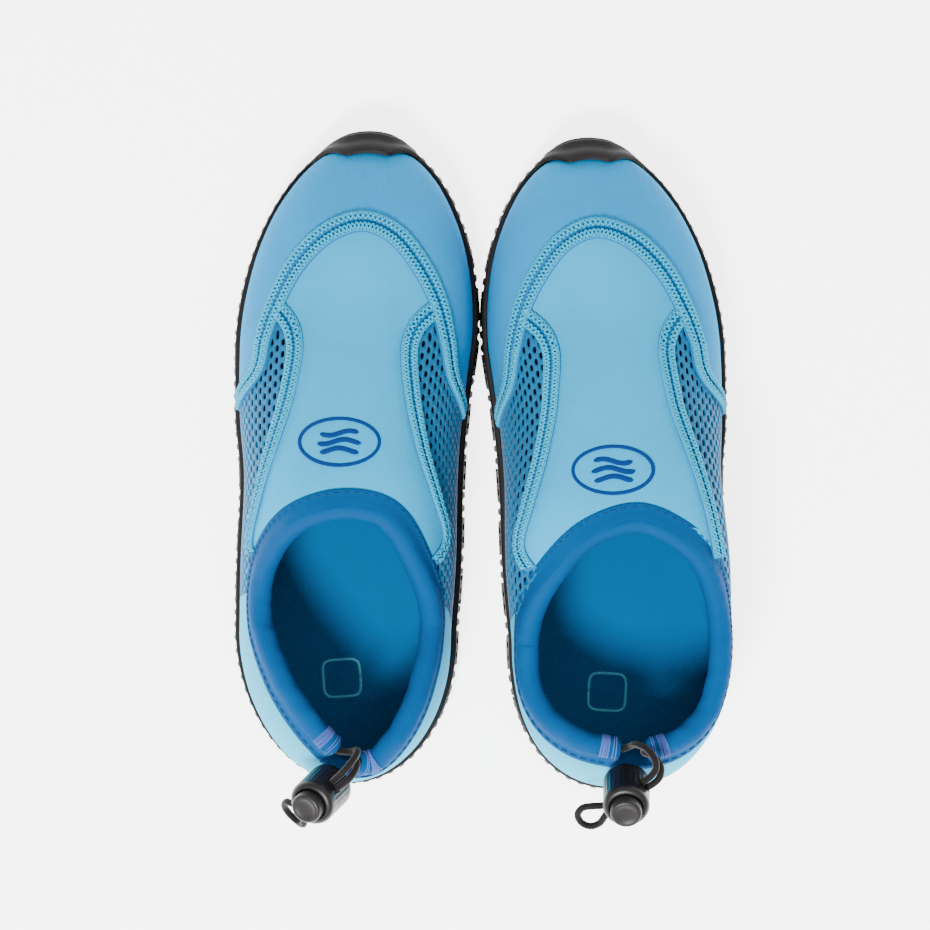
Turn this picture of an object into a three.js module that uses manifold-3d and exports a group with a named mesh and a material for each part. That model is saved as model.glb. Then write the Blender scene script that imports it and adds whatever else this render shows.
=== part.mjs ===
// A pair of low slip-on water shoes: neoprene and mesh uppers on moulded rubber soles, with an
// elastic drawcord that runs in a tunnel round the collar and through a push-button lock at the
// heel. Millimetres, +Z up, toes towards +Y. Each shoe is laid out in its own plan, with y
// measured from the back of the heel, x positive towards the medial side, and z from the floor.
import * as THREE from "three";
import { mergeVertices } from "three/addons/utils/BufferGeometryUtils.js";
import Module from "manifold-3d";

const wasm = await Module();
wasm.setup();

// ---- Driving dimensions of the upper ----
const SHOE_LENGTH = 264;
const HEEL_CENTRE_Y = 62;
const TOE_CENTRE_Y = 180;
const SOLE_OVERHANG = 2.3;
const HEEL_LENGTH = HEEL_CENTRE_Y - SOLE_OVERHANG;
const TOE_LENGTH = SHOE_LENGTH - SOLE_OVERHANG - TOE_CENTRE_Y;
const HEEL_SKEW = -0.03;
const TOE_SKEW = 0.064;
// Side of the upper at its widest line: [y, x].
const LATERAL_SIDE = [[62, -46.2], [90, -45.7], [125, -44.3], [150, -46.2], [180, -46.2]];
const MEDIAL_SIDE = [[62, 39.7], [90, 41.7], [125, 42.5], [150, 44.3], [180, 48.2]];
// Height of the ridge line above the widest line: [y, height].
const RIDGE = [[0, 62], [40, 59], [75, 59], [117, 66], [152, 54], [192, 37], [232, 34], [262, 18]];
const WIDEST_Z = 18;
const FEATHER_Z = 8;
const FEATHER_OUT = 1.2;
const FEATHER_DROP = (WIDEST_Z - FEATHER_Z) / (FEATHER_OUT - 1);
const FOREFOOT_FULLNESS = 2.3;
const REAR_FADE_START = 160;
const REAR_FADE_END = 90;
const NEOPRENE = 3;
const LINING = 0.8;
const MESH_INSET = 0.5;
const MESH_THICKNESS = 1.6;
const TAPE = 0.9;
const LAYER_GAP = 0.6;
const TAPE_GAP = 0.7;
const LINING_GAP = 0.9;
const SEAM_GAP = 0.6;
const COLLAR_DEPTH = (NEOPRENE + LINING_GAP + LINING) / 2;
const TOE_TAPE_WIDTH = 8;
const VAMP_TAPE_WIDTH = 6.6;
const TOE_TAPE_SPAN = [0.025, 0.975];
const VAMP_TAPE_SPAN = [0.07, 0.97];
const EMBLEM = { halfLength: 16.5, halfHeight: 10, ring: 1.6, thickness: 0.5 };

// ---- Sole ----
const PLATE_BOTTOM_Z = 2.5;
const PLATE_TOP_Z = 6;
const SOLE_CLEARANCE = 0.9;
const RAND_TOP_OUT = 1.04;
const TOE_GUARD_OUT = 0.7;
const TOE_GUARD_HALF_WIDTH = 1.8;
const TOE_GUARD_STEP = 0.8;
const TOE_GUARD_STANDOFF = 0.8;
const RAND_ROWS = 4;
const TREAD_BARS = 11;
const TREAD_PITCH = 23.5;
const TREAD_WIDTH = 12;
const TREAD_POINT = 9;
const TREAD_ARM = 20;
const FIRST_TREAD = 0.6;
const TREAD_PROUD = 0.9;
const STROBEL_Z = [6.4, 7.6];
const STROBEL_INSET = 0.4;
const INSOLE_Z = [8, 12];
const INSOLE_INSET = 5.4;

// ---- Collar tunnel and drawcord ----
const TUNNEL_RADIUS = 4.5;
const TUNNEL_BORE = 2;
const TUNNEL_STEPS = 28;
const TUNNEL_CLEARANCE = 1.3;
const RIM_POINTS = 48;
const CORD_RADIUS = 1.4;
// How far the cord's inner run stays back from each mouth, where its free loop takes over.
const CORD_RECESS = 0.8;
const LOOP_STEPS = 60;
const TACK_THICKNESS = 0.5;
const TACK_LENGTH = 2.6;
const TACK_WIDTH = 6;
// Where the tacks sit, as a share of the tunnel's length from each mouth.
const TACK_SHARE = 0.02;

// ---- Cord lock, about its own axes: x along the cord, z along the button ----
const BARREL_RADIUS = 9.2;
const BARREL_TOP = 8.5;
const BARREL_BOTTOM = -10.5;
const BARREL_ROUND = 2.2;
const BORE_RADIUS = 6.6;
const BORE_BOTTOM = -9;
const BUTTON_RADIUS = 6.2;
const BUTTON_TOP = 13;
const BUTTON_BOTTOM = -3.2;
const BUTTON_ROUND = 1.4;
const CORD_HOLE = { width: 6.8, height: 3.6 };
const BUTTON_SLOT = { width: 6.8, bottom: -1.8, top: 5 };
const SPRING_RADIUS = 4.4;
const SPRING_WIRE = 0.35;
const SPRING_TURNS = 3;
const SPRING_GAP = 0.3;
const SPRING_STEPS_PER_TURN = 9;

// ---- The two shoes ----
// fullness: how square the wall is, beside and behind the foot; flare: outward lean of the sides.
// collar: plan points of the tunnel's centre line, from the gap at the back round the lateral side.
const LEFT = {
  name: "left",
  side: 1,
  place: [-52.46, 0.43],
  turn: 0,
  sideFullness: 2.6,
  backFullness: 4,
  flare: 0,
  heelSquareness: 2,
  collar: [[-1.8, 12.4], [-8, 18], [-17, 28], [-29, 46], [-37, 66], [-36.5, 86], [-22, 107],
    [-4, 113], [13, 110.5], [27, 91], [34, 66], [29, 41], [19, 20.5], [8, 10]],
  tunnelGap: 10,
  emblem: [-4, 139],
  lock: { centre: [-11.5, 0.5, 79], cord: [-0.68, -0.5, -0.567], button: [-0.42, -0.37, 0.83] },
  loop: [
    [-5.4, 17.2, 70], [0, 17, 73.5], [3, 18, 79], [2.5, 16, 85], [-1.5, 11, 87.5],
    [-7.1, 5.7, 83.5], [-12.5, 1.8, 79.1], [-16.5, -1.2, 75.7], [-19.2, -3.3, 73.4],
    [-22.5, -3.5, 71.5], [-25, -3, 69], [-26, -5, 65.5], [-24, -8.5, 63], [-20.5, -11.5, 64],
    [-18.5, -12, 67.5], [-18, -9.5, 71], [-17.2, -5.8, 73.3], [-14.5, -3.7, 75.6],
    [-10.5, -0.8, 78.9], [-5.2, 3.2, 83.4], [-2, 5.5, 86], [1, 8.5, 86.5], [3, 12, 84],
    [2.5, 14, 79], [0.5, 13, 73], [0, 12, 69], [2, 11.9, 65.1],
  ],
};
const RIGHT = {
  name: "right",
  side: -1,
  place: [51.44, -2.07],
  turn: 1,
  sideFullness: 4.2,
  backFullness: 3.3,
  flare: 0.08,
  heelSquareness: 2.25,
  collar: [[-6, 18], [-22, 20.5], [-36, 31], [-43, 51], [-42, 77], [-30, 100], [-10, 110],
    [10, 105], [28, 87], [37, 64], [34.5, 40], [17, 23]],
  tunnelGap: 10,
  emblem: [0.5, 130.5],
  lock: { centre: [-2.5, 2.5, 77.5], cord: [0.8, -0.5, -0.343], button: [0.05, -0.51, 0.86] },
  loop: [
    [-10.4, 19.7, 68.4], [-10, 19, 72.5], [-13, 18, 78], [-16, 14, 81], [-15.5, 10, 82],
    [-13, 7.3, 81], [-9.8, 5.4, 79.6], [-3.5, 1.4, 76.9], [1.3, -1.6, 74.8], [4.4, -3.7, 73.4],
    [6, -6, 72], [8, -8.8, 69.5], [11.5, -10, 68.2], [15, -8.5, 68.5], [16.5, -5, 70.5],
    [14.5, -2.3, 72.8], [11, -1.6, 74.2], [6.5, -1.3, 74.7], [3.2, 0.6, 76.1], [-1.5, 3.6, 78.1],
    [-7.9, 7.6, 80.8], [-11.5, 10, 82.5], [-14, 13.5, 84], [-13.5, 17.5, 84], [-10.5, 21, 81.5],
    [-6.5, 22.5, 76], [-4.5, 21.5, 71.5], [-1.4, 20.1, 69],
  ],
};

// Seams, as plan points.
const TOE_SEAM = [[-39, 166], [-35, 181], [-30, 195], [-22, 210], [-10, 222], [4, 227], [17, 222],
  [27, 210], [34, 196], [38, 180], [41, 163]];
const TOE_SEAM_END_Y = { lateral: 152, medial: 147 };
const LATERAL_SEAM = [[-22.5, 181], [-24, 162], [-30, 140], [-36, 119], [-40, 100]];
const MEDIAL_SEAM = [[24, 181], [24, 160], [28, 138], [34, 117], [37.5, 101]];
const HEEL_SEAM_FOOT_Y = { lateral: 72, medial: 58 };
const HEEL_SEAM_TOP_Y = { lateral: 80, medial: 76 };
const SEAM_COLLAR_Y = { lateral: 93, medial: 90 };
// Shares of the toe seam where the vamp seams meet it.
const SEAM_JOINT = { lateral: 0.3, medial: 0.7 };
// Shares of a mesh panel's front and upper edge at which the line of the edge changes.
const MESH_FRONT_CORNER = 0.15;
const MESH_TOP_CORNER = 0.88;
const LINING_FRONT_Y = 126;

const COLOURS = {
  rubber: [0x2b2625, 0.75, 0],
  board: [0x3a4048, 0.9, 0],
  insole: [0x0a6f9c, 0.95, 0],
  toe: [0x4bafce, 0.85, 0],
  vamp: [0x82c4dc, 0.85, 0],
  mesh: [0x23638f, 0.9, 0],
  heel: [0x8fcbe0, 0.85, 0],
  lining: [0x1598b8, 0.95, 0],
  tape: [0x2fa6c6, 0.8, 0],
  binding: [0x1c74ad, 0.85, 0],
  cord: [0x1b1a1c, 0.8, 0],
  lock: [0x232022, 0.45, 0],
  steel: [0xb8bcc0, 0.35, 1],
  emblem: [0x1d4f86, 0.7, 0],
};

// ---- Small helpers ----

// Smooth curve through [position, value] stations, flat beyond the ends.
function through(stations, at) {
  const last = stations.length - 1;
  if (at <= stations[0][0]) return stations[0][1];
  if (at >= stations[last][0]) return stations[last][1];
  const slope = stations.map((_, i) => {
    const a = stations[Math.max(i - 1, 0)];
    const b = stations[Math.min(i + 1, last)];
    return (b[1] - a[1]) / (b[0] - a[0]);
  });
  const i = stations.findIndex((s) => at <= s[0]) - 1;
  const span = stations[i + 1][0] - stations[i][0];
  const t = (at - stations[i][0]) / span;
  return (
    (2 * t ** 3 - 3 * t ** 2 + 1) * stations[i][1] +
    (t ** 3 - 2 * t ** 2 + t) * span * slope[i] +
    (3 * t ** 2 - 2 * t ** 3) * stations[i + 1][1] +
    (t ** 3 - t ** 2) * span * slope[i + 1]
  );
}

function mix(a, b, t) {
  return a + (b - a) * t;
}

function mixPoints(p, q, t) {
  return [mix(p[0], q[0], t), mix(p[1], q[1], t)];
}

// ---- The wall surface of a shoe ----
// A spine runs along the middle of the plan, from the heel centre to the toe centre. Seen from
// it, the wall rises from the outline (out = 1) to the ridge (out = 0) on a rounded profile.
// Chart points are plan points whose distance from the spine counts the angle up that profile.

function spineX(y) {
  return (through(LATERAL_SIDE, y) + through(MEDIAL_SIDE, y)) / 2;
}

function halfWidth(y) {
  return (through(MEDIAL_SIDE, y) - through(LATERAL_SIDE, y)) / 2;
}

function spineRay(x, y, shoe) {
  const cy = Math.min(Math.max(y, HEEL_CENTRE_Y), TOE_CENTRE_Y);
  const cx = spineX(cy);
  const beyond = y - cy;
  const length = beyond > 0 ? TOE_LENGTH : HEEL_LENGTH;
  const skew = beyond > 0 ? TOE_SKEW : HEEL_SKEW;
  const power = beyond < 0 ? shoe.heelSquareness : 2;
  const across = Math.abs(x - cx - skew * beyond) / halfWidth(cy);
  const along = Math.abs(beyond) / length;
  const out = (across ** power + along ** power) ** (1 / power);
  const behind = beyond < 0 ? along ** 2 / (across ** 2 + along ** 2) : 0;
  const rear = THREE.MathUtils.smoothstep(-cy, -REAR_FADE_START, -REAR_FADE_END);
  const beside = mix(FOREFOOT_FULLNESS, shoe.sideFullness, rear);
  return {
    cx,
    cy,
    out,
    fullness: mix(beside, shoe.backFullness, behind),
    flare: shoe.flare * rear * (1 - behind),
  };
}

// Plan distance and height on the wall profile, as fractions, at an angle up from the outline.
function wallProfile(out, fullness) {
  const angle = ((1 - Math.min(out, 1)) * Math.PI) / 2;
  const [c, s] = [Math.cos(angle), Math.sin(angle)];
  const size = (c ** fullness + s ** fullness) ** (1 / fullness);
  return { fraction: c / size, height: s / size };
}

// Chart point to a point on the wall, depth below the outer face.
function lift([x, y], depth, shoe) {
  const ray = spineRay(x, y, shoe);
  const distance = Math.hypot(x - ray.cx, y - ray.cy);
  const { fraction, height } = wallProfile(ray.out, ray.fullness);
  const reach = ray.out > 1e-6 ? distance / ray.out : 0;
  const flared = fraction * (1 + ray.flare * height);
  const toward = distance > 1e-6 ? [(x - ray.cx) / distance, (y - ray.cy) / distance] : [0, 0];
  const ridge = through(RIDGE, ray.cy + toward[1] * reach * fraction);
  const below = Math.max(ray.out - 1, 0) * FEATHER_DROP;
  return [
    ray.cx + toward[0] * (reach - depth) * flared,
    ray.cy + toward[1] * (reach - depth) * flared,
    WIDEST_Z + (ridge - depth) * height - below,
  ];
}

function toChart([x, y], shoe) {
  const ray = spineRay(x, y, shoe);
  let fraction = Math.min(ray.out, 1);
  let height = 0;
  for (let i = 0; i < 12; i++) {
    height = (1 - Math.min(fraction, 1) ** ray.fullness) ** (1 / ray.fullness);
    fraction = Math.min(ray.out / (1 + ray.flare * height), 1);
  }
  const out = 1 - (Math.atan2(height, fraction) * 2) / Math.PI;
  const k = ray.out > 1e-6 ? out / ray.out : 1;
  return [ray.cx + (x - ray.cx) * k, ray.cy + (y - ray.cy) * k];
}

// Stations round the outline: 0 at the back of the heel, then the lateral side, toe, medial side.
const HEEL_STATIONS = 6;
const SIDE_STATIONS = 8;
const TOE_STATIONS = 16;
const STATIONS = 2 * HEEL_STATIONS + 2 * SIDE_STATIONS + TOE_STATIONS;

function outlineAt(station, out, shoe) {
  const turn = ((station % STATIONS) + STATIONS) % STATIONS;
  const mirrored = turn > STATIONS / 2;
  const s = mirrored ? STATIONS - turn : turn;
  const sign = mirrored ? 1 : -1;
  let [cy, across, along, skew] = [HEEL_CENTRE_Y, 1, 0, 0];
  if (s < HEEL_STATIONS) {
    const angle = ((1 - s / HEEL_STATIONS) * Math.PI) / 2;
    across = Math.cos(angle) ** (2 / shoe.heelSquareness);
    along = -HEEL_LENGTH * Math.sin(angle) ** (2 / shoe.heelSquareness);
    skew = HEEL_SKEW;
  } else if (s <= HEEL_STATIONS + SIDE_STATIONS) {
    cy = mix(HEEL_CENTRE_Y, TOE_CENTRE_Y, (s - HEEL_STATIONS) / SIDE_STATIONS);
  } else {
    const angle = ((s - HEEL_STATIONS - SIDE_STATIONS) / TOE_STATIONS) * Math.PI;
    cy = TOE_CENTRE_Y;
    across = Math.cos(angle);
    along = TOE_LENGTH * Math.sin(angle);
    skew = TOE_SKEW;
  }
  const x = sign * across * halfWidth(cy) + skew * along;
  return [spineX(cy) + x * out, cy + along * out];
}

function sideStation(y, medial) {
  const run = (y - HEEL_CENTRE_Y) / (TOE_CENTRE_Y - HEEL_CENTRE_Y);
  const station = HEEL_STATIONS + run * SIDE_STATIONS;
  return medial ? STATIONS - station : station;
}

// ---- Solids ----

function solidFrom(points, faces) {
  const geometry = new THREE.BufferGeometry();
  geometry.setAttribute("position", new THREE.Float32BufferAttribute(points.flat(), 3));
  geometry.setIndex(faces.flat());
  return facingOut(geometry);
}

// Turns a closed geometry's faces outward.
function facingOut(geometry) {
  const p = geometry.getAttribute("position");
  const index = geometry.getIndex();
  const corner = [0, 1, 2].map(() => new THREE.Vector3());
  let volume = 0;
  for (let i = 0; i < index.count; i += 3) {
    corner.forEach((c, k) => c.fromBufferAttribute(p, index.getX(i + k)));
    volume += corner[0].dot(corner[1].clone().cross(corner[2]));
  }
  if (volume < 0) {
    for (let i = 0; i < index.count; i += 3) {
      const a = index.getX(i);
      index.setX(i, index.getX(i + 2));
      index.setX(i + 2, a);
    }
  }
  geometry.computeVertexNormals();
  return geometry;
}

// Closed sheet between two grids of points; round joins its last column to its first.
function sheetSolid(columns, rows, outer, inner, round = false) {
  const across = round ? columns : columns + 1;
  const points = [];
  for (const face of [outer, inner]) {
    for (let i = 0; i < across; i++) {
      for (let j = 0; j <= rows; j++) points.push(face(i / columns, j / rows));
    }
  }
  const at = (side, i, j) => side * across * (rows + 1) + (i % across) * (rows + 1) + j;
  const faces = [];
  const quad = (a, b, c, d) => faces.push([a, b, c], [a, c, d]);
  for (let i = 0; i < columns; i++) {
    for (let j = 0; j < rows; j++) {
      quad(at(0, i, j), at(0, i + 1, j), at(0, i + 1, j + 1), at(0, i, j + 1));
      quad(at(1, i, j), at(1, i, j + 1), at(1, i + 1, j + 1), at(1, i + 1, j));
    }
    quad(at(0, i, 0), at(1, i, 0), at(1, i + 1, 0), at(0, i + 1, 0));
    quad(at(0, i, rows), at(0, i + 1, rows), at(1, i + 1, rows), at(1, i, rows));
  }
  for (let j = 0; j < rows && !round; j++) {
    quad(at(0, 0, j), at(0, 0, j + 1), at(1, 0, j + 1), at(1, 0, j));
    quad(at(0, columns, j), at(1, columns, j), at(1, columns, j + 1), at(0, columns, j + 1));
  }
  return solidFrom(points, faces);
}

// Triangles filling a flat loop, wound the way the loop runs.
function flatFaces(loop) {
  const plan = loop.map(([x, y]) => new THREE.Vector2(x, y));
  const turns = THREE.ShapeUtils.area(plan) > 0;
  return THREE.ShapeUtils.triangulateShape(plan, []).map(([a, b, c]) => {
    const face = THREE.ShapeUtils.area([plan[a], plan[b], plan[c]]) > 0;
    return face === turns ? [a, b, c] : [a, c, b];
  });
}

// Flat plate with an outline of plan points.
function plateSolid(outline, [bottom, top]) {
  const loop = outline.map(([x, y]) => new THREE.Vector2(x, y));
  const shape = new THREE.Shape(loop);
  const geometry = new THREE.ExtrudeGeometry(shape, { depth: top - bottom, bevelEnabled: false });
  return welded(geometry.translate(0, 0, bottom));
}

function welded(geometry) {
  geometry.deleteAttribute("normal");
  geometry.deleteAttribute("uv");
  return facingOut(mergeVertices(geometry, 1e-4));
}

function toManifold(geometry) {
  return new wasm.Manifold(
    new wasm.Mesh({
      numProp: 3,
      vertProperties: new Float32Array(geometry.getAttribute("position").array),
      triVerts: new Uint32Array(geometry.getIndex().array),
    }),
  );
}

function fromManifold(solid) {
  const mesh = solid.getMesh();
  const geometry = new THREE.BufferGeometry();
  geometry.setAttribute("position", new THREE.Float32BufferAttribute(mesh.vertProperties, 3));
  geometry.setIndex(Array.from(mesh.triVerts));
  geometry.computeVertexNormals();
  return geometry;
}

function cutBy(geometry, ...tools) {
  return fromManifold(tools.reduce((s, t) => s.subtract(toManifold(t)), toManifold(geometry)));
}

function box(width, depth, height, x, y, z) {
  return welded(new THREE.BoxGeometry(width, depth, height).translate(x, y, z));
}

// Tube along a curve, with an optional bore.
function tubeSolid(curve, steps, radius, sides, bore = 0) {
  const circle = (r) =>
    Array.from({ length: sides }, (_, i) => {
      const angle = (i / sides) * 2 * Math.PI;
      return new THREE.Vector2(r * Math.cos(angle), r * Math.sin(angle));
    });
  const shape = new THREE.Shape(circle(radius));
  if (bore) shape.holes.push(new THREE.Path(circle(bore).reverse()));
  return welded(new THREE.ExtrudeGeometry(shape, { steps, extrudePath: curve }));
}

// ---- Patches of the upper ----

// Blend of four edges, each a function from 0 to 1 giving a chart point. u runs along foot and
// top, v runs from foot to top along start and end.
function patch(foot, top, start, end) {
  return (u, v) => {
    const [f, t, s, e] = [foot(u), top(u), start(v), end(v)];
    const corners = [foot(0), foot(1), top(0), top(1)];
    return [0, 1].map((k) => {
      const ruled = mix(f[k], t[k], v) + mix(s[k], e[k], u);
      const plain = mix(mix(corners[0][k], corners[1][k], u), mix(corners[2][k], corners[3][k], u), v);
      return ruled - plain;
    });
  };
}

// Solid of a patch between two depths, held back from its edges by half a seam gap.
function patchSolid(at, columns, rows, [outside, inside], shoe, trim) {
  const inset = (t, size) => mix(SEAM_GAP / size, 1 - SEAM_GAP / size, t);
  const face = (depth) => (u, v) => lift(at(inset(u, trim[0]), inset(v, trim[1])), depth, shoe);
  return sheetSolid(columns, rows, face(outside), face(inside));
}

// Smooth chart curve through plan points, as a function of the share of its length.
function chartCurve(planPoints, shoe, before = [], after = []) {
  const middle = planPoints.map((p) => toChart(p, shoe));
  const points = [...before, ...middle, ...after].map(([x, y]) => new THREE.Vector2(x, y));
  const curve = new THREE.SplineCurve(points);
  return (u) => curve.getPointAt(Math.min(Math.max(u, 0), 1)).toArray();
}

function stretch(curve, from, to) {
  return (u) => curve(mix(from, to, u));
}

function line(p, q) {
  return (u) => mixPoints(p, q, u);
}

// Collar line as a closed chart curve, and the wall's edge a tunnel radius outside it.
function collarLines(shoe) {
  const points = shoe.collar.map((p) => new THREE.Vector3(...toChart(p, shoe), 0));
  const curve = new THREE.CatmullRomCurve3(points, true);
  const centre = (u) => curve.getPointAt(((u % 1) + 1) % 1).toArray().slice(0, 2);
  const onWall = (q) => new THREE.Vector3(...lift(q, COLLAR_DEPTH, shoe));
  const rim = Array.from({ length: RIM_POINTS }, (_, i) => {
    const here = centre(i / RIM_POINTS);
    const [a, b] = [centre(i / RIM_POINTS - 0.01), centre(i / RIM_POINTS + 0.01)];
    const size = Math.hypot(b[0] - a[0], b[1] - a[1]);
    const outward = [-(b[1] - a[1]) / size, (b[0] - a[0]) / size];
    const step = (s) => [here[0] + outward[0] * s, here[1] + outward[1] * s];
    let s = 0;
    while (onWall(step(s)).distanceTo(onWall(here)) < TUNNEL_RADIUS + TUNNEL_CLEARANCE) s += 0.05;
    return new THREE.Vector3(...step(s), 0);
  });
  const rimCurve = new THREE.CatmullRomCurve3(rim, true);
  const edge = (u) => rimCurve.getPoint(((u % 1) + 1) % 1).toArray().slice(0, 2);
  return { centre, edge, length: pathLength((u) => lift(centre(u), COLLAR_DEPTH, shoe)) };
}

function pathLength(at) {
  const points = Array.from({ length: 97 }, (_, i) => new THREE.Vector3(...at(i / 96)));
  return points.slice(1).reduce((sum, p, i) => sum + p.distanceTo(points[i]), 0);
}

// Where a closed edge crosses a plan height y, on the lateral (false) or medial side.
function edgeShareAt(edge, y, medial) {
  const shares = Array.from({ length: 241 }, (_, i) => i / 480 + (medial ? 0.5 : 0));
  return shares.reduce((best, u) => (Math.abs(edge(u)[1] - y) < Math.abs(edge(best)[1] - y) ? u : best));
}

// Chart point a real distance away from q along a chart direction.
function stepOnWall(q, direction, distance, depth, shoe) {
  const from = new THREE.Vector3(...lift(q, depth, shoe));
  const step = (s) => [q[0] + direction[0] * s, q[1] + direction[1] * s];
  let [near, far] = [0, 4 * distance];
  for (let i = 0; i < 24; i++) {
    const middle = (near + far) / 2;
    const reached = from.distanceTo(new THREE.Vector3(...lift(step(middle), depth, shoe)));
    if (reached < distance) near = middle;
    else far = middle;
  }
  return step(near);
}

// Direction in the chart at right angles to a curve, to its left.
function leftOf(curve, u) {
  const [a, b] = [curve(u - 0.01), curve(u + 0.01)];
  const size = Math.hypot(b[0] - a[0], b[1] - a[1]);
  return [-(b[1] - a[1]) / size, (b[0] - a[0]) / size];
}

function joined(first, second, share) {
  return (u) => (u < share ? first(u / share) : second((u - share) / (1 - share)));
}

// ---- Sole pieces ----

// Share of the toe guard at a station: 1 at the tip, 0 beyond its half width.
function toeGuard(station) {
  const away = Math.abs(station - STATIONS / 2);
  return THREE.MathUtils.smoothstep(TOE_GUARD_HALF_WIDTH + 1 - away, 0, 2);
}

// Point on the rubber wall; v runs from the plate to the wall's top.
function randPoint(station, v, depth, foot, shoe) {
  const guard = toeGuard(station);
  const top = mix(RAND_TOP_OUT, TOE_GUARD_OUT, guard);
  const low = 1 + (WIDEST_Z - foot) / FEATHER_DROP;
  return lift(outlineAt(station, mix(low, top, v), shoe), depth, shoe);
}

function outsole(shoe) {
  const points = [];
  const outerRows = RAND_ROWS + 1;
  for (let i = 0; i < STATIONS; i++) {
    const off = toeGuard(i) * TOE_GUARD_STANDOFF;
    for (let j = 0; j <= RAND_ROWS; j++) {
      const ridge = j % 2 === 1 ? toeGuard(i) * TOE_GUARD_STEP : 0;
      points.push(randPoint(i, j / RAND_ROWS, -SOLE_OVERHANG - off - ridge, PLATE_BOTTOM_Z, shoe));
    }
    for (let j = RAND_ROWS; j >= 0; j--) {
      points.push(randPoint(i, j / RAND_ROWS, -SOLE_CLEARANCE - off, PLATE_TOP_Z, shoe));
    }
  }
  const rows = 2 * outerRows;
  const at = (i, j) => (i % STATIONS) * rows + j;
  const faces = [];
  for (let i = 0; i < STATIONS; i++) {
    for (let j = 0; j < rows - 1; j++) {
      faces.push([at(i, j), at(i + 1, j), at(i + 1, j + 1)], [at(i, j), at(i + 1, j + 1), at(i, j + 1)]);
    }
  }
  const loop = (j) => Array.from({ length: STATIONS }, (_, i) => points[at(i, j)]);
  flatFaces(loop(0)).forEach(([a, b, c]) => faces.push([at(c, 0), at(b, 0), at(a, 0)]));
  flatFaces(loop(rows - 1)).forEach((face) => faces.push(face.map((i) => at(i, rows - 1))));
  return fromManifold(toManifold(solidFrom(points, faces)).add(treads(shoe)));
}

// Chevron bars across the sole, cut to its outline.
function treads(shoe) {
  const edge = Array.from({ length: STATIONS }, (_, i) =>
    lift(outlineAt(i, 1, shoe), -SOLE_OVERHANG - TREAD_PROUD, shoe).slice(0, 2));
  const footprint = toManifold(plateSolid(edge, [0, PLATE_BOTTOM_Z + 0.5]));
  const bars = Array.from({ length: TREAD_BARS }, (_, i) => {
    const y = (i + FIRST_TREAD) * TREAD_PITCH;
    const x = spineX(Math.min(Math.max(y, HEEL_CENTRE_Y), TOE_CENTRE_Y));
    const upper = [[SHOE_LENGTH, 0], [TREAD_ARM, 0], [0, TREAD_POINT], [-TREAD_ARM, 0], [-SHOE_LENGTH, 0]];
    const bar = [...upper, ...upper.map(([a, b]) => [a, b - TREAD_WIDTH]).reverse()];
    return toManifold(plateSolid(bar.map(([a, b]) => [x + a, y + b]), [0, PLATE_BOTTOM_Z + 0.4]));
  });
  return bars.reduce((all, bar) => all.add(bar)).intersect(footprint);
}

function insetPlate(inset, heights, shoe) {
  const edge = Array.from({ length: STATIONS }, (_, i) =>
    lift(outlineAt(i, 1, shoe), inset, shoe).slice(0, 2));
  return plateSolid(edge, heights);
}

// ---- Upper pieces ----

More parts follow.
